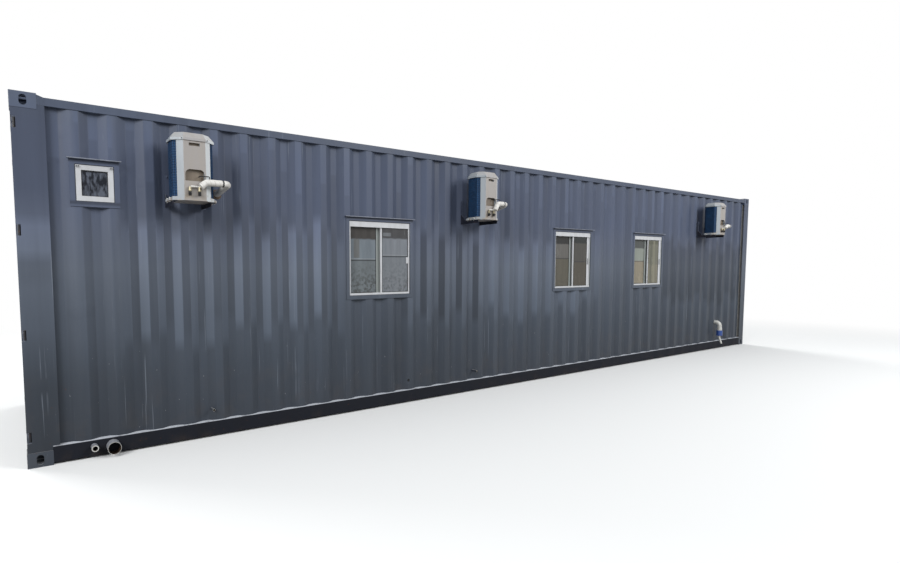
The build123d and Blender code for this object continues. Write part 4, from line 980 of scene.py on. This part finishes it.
def add_band(shape, centre, axis, radius, width, thick, sides=36):
    """A flat band round a pipe."""
    out = axis.orthogonal().normalized()
    corners = [(-1, 0), (1, 0), (1, 1), (-1, 1)]
    ring = [shape.verts.new(Vector(centre) + axis * along * width / 2 + out * (radius + thick * far))
            for along, far in corners]
    edges = [shape.edges.new((ring[n], ring[(n + 1) % 4])) for n in range(4)]
    before = set(shape.faces)
    bmesh.ops.spin(shape, geom=ring + edges, cent=centre, axis=axis, angle=2 * math.pi, steps=sides,
                   use_merge=True, use_duplicate=False)
    closed_faces(shape, before)


def add_ring(shape, centre, across, up, bar, depth, paint=0):
    """A flat four sided ring that stands out by its depth; across and up are its whole sides."""
    way = up.cross(across).normalized()
    if depth < 0:
        way, depth = -way, -depth
    before = set(shape.faces)
    frame_of = Matrix((across, up, way)).transposed().to_4x4()
    made = bmesh.ops.create_grid(shape, x_segments=1, y_segments=1, size=0.5,
                                 matrix=Matrix.Translation(centre) @ frame_of)
    inner = faces_of(made["verts"])
    rim = bmesh.ops.inset_region(shape, faces=inner, thickness=bar, use_even_offset=True,
                                 use_boundary=True)["faces"]
    bmesh.ops.delete(shape, geom=inner, context="FACES_ONLY")
    pull_out(shape, rim, way * depth)
    paint_faces(closed_faces(shape, before), paint)


def add_lump(shape, centre, radius, flat, paint=0):
    """An uneven pressed lump, flattened along the wall's normal."""
    made = bmesh.ops.create_icosphere(shape, subdivisions=3, radius=radius,
                                      matrix=Matrix.Translation(centre) @ Matrix.Diagonal((1, flat, 1, 1)))
    for vert in made["verts"]:
        swell = 1 + 0.22 * noise.noise(vert.co * 38.0)
        vert.co = Vector(centre) + (vert.co - Vector(centre)) * swell
    paint_faces(faces_of(made["verts"]), paint)


# Bars of the rubber round a pane and of the dark sealant round a frame, which is also a painted shade of the
# trim's reveal, and how far they stand out
PANE_RUBBER, FRAME_SEALANT_AND_SHADE, SMALL_RUBBER, SMALL_SEALANT_AND_SHADE, SEAL_OUT = 0.006, 0.005, 0.005, 0.006, 0.003


def window_seals(side, name):
    """Rubber round every pane and dark sealant round every frame, partly painted shade; near (-1) or far (1)
    side.
    """
    shape = bmesh.new()
    middle = (PANE_LOW + PANE_HIGH) / 2
    out = side * SEAL_OUT
    for number, centre in enumerate(WINDOW_CENTRES):
        moved = side < 0
        rear = (-PANE_OUTER, REAR_PANE_EDGE + moved * REAR_MOVE, REAR_FACE)
        fore = (FORE_PANE_EDGE + moved * FORE_MOVE, PULL_EDGE if number else PANE_OUTER, FORE_FACE)
        for left, right, y in (rear, fore):
            place = Vector((centre + (left + right) / 2, -side * y, middle))
            add_ring(shape, place, ALONG * (right - left), UP * (PANE_HIGH - PANE_LOW), PANE_RUBBER, out)
        place = Vector((centre, -side * FRAME_FACE, (WINDOW_LOW + WINDOW_HIGH) / 2))
        add_ring(shape, place, ALONG * 2 * WINDOW_HALF, UP * (WINDOW_HIGH - WINDOW_LOW), FRAME_SEALANT_AND_SHADE,
                 out / 2, paint=1)
    if side < 0:
        x, z = SMALL_WINDOW
        glass_w = 2 * (SMALL_HALF_WIDTH - SMALL_FRAME_BAR)
        glass_h = 2 * (SMALL_HALF_HEIGHT - SMALL_FRAME_BAR)
        add_ring(shape, Vector((x, SMALL_PANE_FACE, z)), ALONG * glass_w, UP * glass_h, SMALL_RUBBER, out)
        add_ring(shape, Vector((x, SMALL_FACE, z)), ALONG * 2 * SMALL_HALF_WIDTH,
                 UP * 2 * SMALL_HALF_HEIGHT, SMALL_SEALANT_AND_SHADE, out / 3, paint=1)
    place_piece(shape, name, ["rubber", "sealant_shade"])


def hood_edges(side, name, windows):
    """The rolled front edge of the hood over each window, lighter as a painted highlight."""
    behind_front, over_trim, radius = 0.004, 0.0015, 0.0048
    shape = bmesh.new()
    for x, half, top in windows:
        half = half + TRIM_WIDTH + HOOD_SIDE
        place = (x - half, -side * (HOOD_FRONT + behind_front), top + TRIM_WIDTH + over_trim)
        add_round(shape, place, ALONG, radius, 2 * half, 16, chamfer=0.001)
    place_piece(shape, name, ["hood_edge"])


def finger_pulls(side, name):
    """A black dished insert in the closing stile of windows 2 and 3."""
    shape = bmesh.new()
    wide, tall, thick, sunk = 0.030, 0.092, 0.0068, 0.0055
    way = Vector((0, side, 0))
    for centre in WINDOW_CENTRES[1:]:
        before = set(shape.faces)
        place = Matrix.Translation((centre + PULL_CENTRE, -side * (PULL_FACE + sunk), PULL_HEIGHT))
        turn = Matrix.Rotation(math.pi / 2, 4, "X") @ Matrix.Diagonal((wide, tall, 1, 1))
        made = bmesh.ops.create_grid(shape, x_segments=1, y_segments=1, size=0.5, matrix=place @ turn)
        round_off(shape, made["verts"], wide * 0.3, 4, affect="VERTICES", clamp=False)
        pull_out(shape, [face for face in shape.faces if face not in before], way * thick)
        front = end_face(closed_faces(shape, before), way)
        bmesh.ops.inset_individual(shape, faces=[front], thickness=wide * 0.2, depth=-thick * 0.6)
    place_piece(shape, name, ["cap"])


WINDOWS = [(centre, WINDOW_HALF, WINDOW_HIGH) for centre in WINDOW_CENTRES]
SMALL = (SMALL_WINDOW[0], SMALL_HALF_WIDTH, SMALL_WINDOW[1] + SMALL_HALF_HEIGHT)
window_seals(-1, "window_seals_near")
window_seals(1, "window_seals_far")
hood_edges(-1, "hood_edges_near", WINDOWS + [SMALL])
hood_edges(1, "hood_edges_far", WINDOWS)
finger_pulls(-1, "finger_pulls_near")
finger_pulls(1, "finger_pulls_far")


def small_window_screws():
    """Two screws through each corner catch."""
    sides, height, radius = (0.115, 0.128), 0.130, 0.005
    shape = bmesh.new()
    x, z = SMALL_WINDOW
    for side in (-1, 1):
        for off in sides:
            add_screw(shape, (x + side * off, SMALL_CATCH_FACE, z + height), FRONT, radius)
    place_piece(shape, "small_window_catch_screws", ["hinge"])


small_window_screws()

# What is screwed on a valve: how far up and out it starts and its way, its radius, tip and length, its
# sides, its chamfer and its finish
VALVE_CAPS = [
    (0.034, 0.0, DOWN, 0.0125, 0.0125, 0.034, 20, 0.003, 1),
    (0.040, 0.0, UP, 0.0135, 0.0135, 0.014, 6, 0.0015, 2),
    (0.056, 0.0, UP, 0.0118, 0.0105, 0.016, 6, 0.0015, 2),
    (0.020, 0.008, FRONT, 0.009, 0.009, 0.012, 16, 0.002, 1),
]
COVER_SCREW, PANEL_SCREW, FOOT_BOLT, FOOT_NUT, BRACKET_BOLT = 0.0045, 0.0035, 0.0095, 0.0075, 0.009


def unit_fittings(number, centre):
    """Valve caps and nuts, panel screws, foot bolts and bracket bolts of one condensing unit."""
    shape = bmesh.new()
    for along in VALVES:
        foot = Vector((centre + along, UNIT_FRONT - VALVE_OUT, UNIT_BOTTOM + VALVE_HEIGHT))
        for rise, out, way, radius, tip, length, sides, chamfer, paint in VALVE_CAPS:
            add_round(shape, foot + FRONT * out + UP * rise, way, radius, length, sides, tip, chamfer, paint)
    for side in (-1, 1):
        place = (centre + side * COVER_SCREW_SIDE, COVER_FRONT, COVER_BOTTOM + COVER_SCREW_HEIGHT)
        add_screw(shape, place, FRONT, COVER_SCREW, paint=1)
    for side in (-1, 1):
        for height in PANEL_SCREW_HEIGHTS:
            place = (centre + side * PANEL_SCREW_SIDE, UNIT_FRONT, UNIT_BOTTOM + height)
            add_screw(shape, place, FRONT, PANEL_SCREW)
        for row in FOOT_ROWS:
            top = Vector((centre + side * FOOT_OUT, row, UNIT_BOTTOM + FOOT_TOP))
            add_bolt(shape, top, UP, FOOT_BOLT)
            add_bolt(shape, top - UP * (FOOT_TOP + ARM_PLATE), DOWN, FOOT_NUT)
        for height in BRACKET_BOLTS:
            place = (centre + side * BRACKET_ACROSS, WALL_FACE - BRACKET_LEG_PLATE, UNIT_BOTTOM + height)
            add_bolt(shape, place, FRONT, BRACKET_BOLT, paint=3)
    finishes = ["zinc", "cap", "brass", "steelwork"]
    place_piece(shape, f"condenser_{number + 1}_fittings", finishes)


def bundle_strap(number, centre):
    """A strap near the bend, a thin band where the wrapping starts, and the filler at the wall."""
    strap_in, strap_thick = 0.0022, 0.0016
    band_in, band_wide, band_thick = 0.0003, 0.006, 0.0002
    filler_radius, filler_flat = 0.046, 0.5
    shape = bmesh.new()
    height = UNIT_BOTTOM + BUNDLE_HEIGHTS[number]
    middle = (strap_place(number), BUNDLE_Y, height)
    add_band(shape, middle, ALONG, BUNDLE_RADIUS - strap_in, STRAP_WIDTH, strap_thick)
    start = (centre + BUNDLE_START, BUNDLE_Y, height)
    add_band(shape, start, ALONG, BUNDLE_RADIUS - band_in, band_wide, band_thick)
    hole = Vector((centre + BUNDLE_SIDES[number], WALL_FACE, UNIT_BOTTOM + BUNDLE_IN_WALL))
    add_lump(shape, hole, filler_radius, filler_flat, paint=1)
    place_piece(shape, f"condenser_{number + 1}_pipe_strap", ["rubber", "filler"])


for number, centre in enumerate(UNIT_CENTRES):
    unit_fittings(number, centre)
    bundle_strap(number, centre)


def weld_beads():
    """Beads where the posts and the rails are welded to the corner castings."""
    face, long_bead, short_bead = 1.2165, 0.0032, 0.003
    from_middle, to_end = 5.920, 6.090
    upright_beads = ((0.018, 0.098), (2.812, 0.056))
    shape = bmesh.new()
    for side in (-1, 1):
        for z in (CASTING_HEIGHT, CASTING_TOP_FOOT):
            for start in (-to_end, from_middle):
                add_round(shape, (start, side * face, z), ALONG, long_bead, to_end - from_middle, 10)
        for end in (-1, 1):
            x = end * (HALF_LENGTH - CASTING_LENGTH)
            for foot, length in upright_beads:
                add_round(shape, (x, side * face, foot), UP, short_bead, length, 10)
    place_piece(shape, "casting_welds", ["steelwork"])


weld_beads()


def cargo_door_fixings():
    """Rubber lips round both cargo door leaves and the bolts through their hinge blades."""
    bolt = 0.008
    shape = bmesh.new()
    for side in (-1, 1):
        low, high = sorted(side * -y for y in LEAF_Y)
        middle = Vector((DOOR_FACE + LIP_BACK, (low + high) / 2, sum(LEAF_Z) / 2))
        wide, tall = high - low + 2 * LIP_WIDTH, LEAF_Z[1] - LEAF_Z[0] + 2 * LIP_WIDTH
        add_ring(shape, middle, Vector((0, wide, 0)), UP * tall, LIP_WIDTH, -LIP_DEPTH)
        for z in HINGE_HEIGHTS:
            for off in HINGE_BOLTS:
                add_bolt(shape, (HINGE_FACE, side * -(LEAF_Y[0] + off), z), OUT_OF_DOORS, bolt, paint=1)
    place_piece(shape, "cargo_door_fixings", ["rubber", "zinc"])


cargo_door_fixings()


def entrance_fixings():
    """Three butt hinges and the lock barrel of the entrance door."""
    heights, gap, lock_side, lock_height = (0.42, 1.21, 2.00), 0.0015, 0.387, 1.105
    # A knuckle and its longer pin: how far under the hinge's middle, radius, length, sides and chamfer
    hinge = ((0.045, 0.007, 0.090, 20, 0.002), (0.050, 0.0045, 0.100, 16, 0.001))
    shape = bmesh.new()
    x = ENTRANCE_CENTRE - ENTRANCE_HALF + gap
    for z in heights:
        for under, radius, length, sides, chamfer in hinge:
            add_round(shape, (x, ENTRANCE_FACE, z - under), UP, radius, length, sides, chamfer=chamfer)
    barrel = (ENTRANCE_CENTRE + lock_side, ENTRANCE_FACE, lock_height)
    for radius, length in ((0.012, 0.004), (0.008, 0.008)):
        add_round(shape, barrel, BACK, radius, length, 24, chamfer=0.001)
    place_piece(shape, "entrance_door_fixings", ["zinc"])


entrance_fixings()

FLOOR_HALF, FLOOR_FADE = 60.0, (7.5, 13.0)
FLOOR_AS_LIT, FLOOR_AS_SEEN = (0.26, 0.25, 0.23, 1), (0.84, 0.84, 0.83, 1)
SKY_LIGHT, SKY_STRENGTH = (0.92, 0.96, 1.0, 1), 0.58


def pale_floor():
    """A plain pale floor that keeps the shadow and fades to white far away."""
    f = Finish("pale_floor", 0.9, specular=0.1)
    looked_at = f.seen_directly()
    f.wear(f.blend(looked_at, FLOOR_AS_LIT, FLOOR_AS_SEEN))
    away = f.node("ShaderNodeVectorMath", {0: f.place}, operation="LENGTH").outputs["Value"]
    fade = f.node("ShaderNodeMapRange", {"Value": away, "From Min": FLOOR_FADE[0], "From Max": FLOOR_FADE[1]},
                  interpolation_type="SMOOTHSTEP").outputs["Result"]
    white = f.node("ShaderNodeEmission", {"Strength": 1.0})
    f.show(f.times(fade, looked_at), f.shader, white, "Material Output")
    shape = bmesh.new()
    bmesh.ops.create_grid(shape, x_segments=1, y_segments=1, size=FLOOR_HALF)
    stand(shape, "floor_ground", [f.material])


def pale_sky():
    """White behind the container and in its gloss; a softer even light on it."""
    world = bpy.data.worlds.new("pale_sky")
    bpy.context.scene.world = world
    world.use_nodes = True
    sky = Wiring(world.node_tree)
    light = sky.tree.nodes["Background"]
    light.inputs["Color"].default_value = SKY_LIGHT
    light.inputs["Strength"].default_value = SKY_STRENGTH
    white = sky.node("ShaderNodeBackground", {"Strength": 1.0, "Color": (1, 1, 1, 1)})
    sky.show(sky.seen_directly(), light, white, "World Output")


# Each lamp: its name, where it stands, what it is aimed at, its side and its watts
LAMPS = [
    ("right_front_lamp", (4.0, -10.5, 7.5), (0.8, -1.2, 1.6), 5.0, 960),
    ("left_front_lamp", (-12.0, -6.5, 6.0), (-4.6, -1.2, 1.6), 4.0, 690),
    ("right_back_lamp", (8.0, 9.0, 7.0), (2.0, 1.2, 1.4), 5.0, 800),
    ("left_back_lamp", (-11.0, 7.0, 6.5), (-3.0, 1.2, 1.4), 5.0, 620),
]


def soft_lamp(name, place, aim, size, watts):
    """A square soft box turned to its aim."""
    data = bpy.data.lights.new(name, "AREA")
    data.shape = "SQUARE"
    data.size = size
    data.energy = watts
    lamp = bpy.data.objects.new(name, data)
    lamp.location = place
    lamp.rotation_euler = (Vector(aim) - Vector(place)).to_track_quat("-Z", "Y").to_euler()
    bpy.context.scene.collection.objects.link(lamp)


pale_floor()
pale_sky()
for lamp in LAMPS:
    soft_lamp(*lamp)
bpy.context.scene.view_settings.view_transform = "Standard"
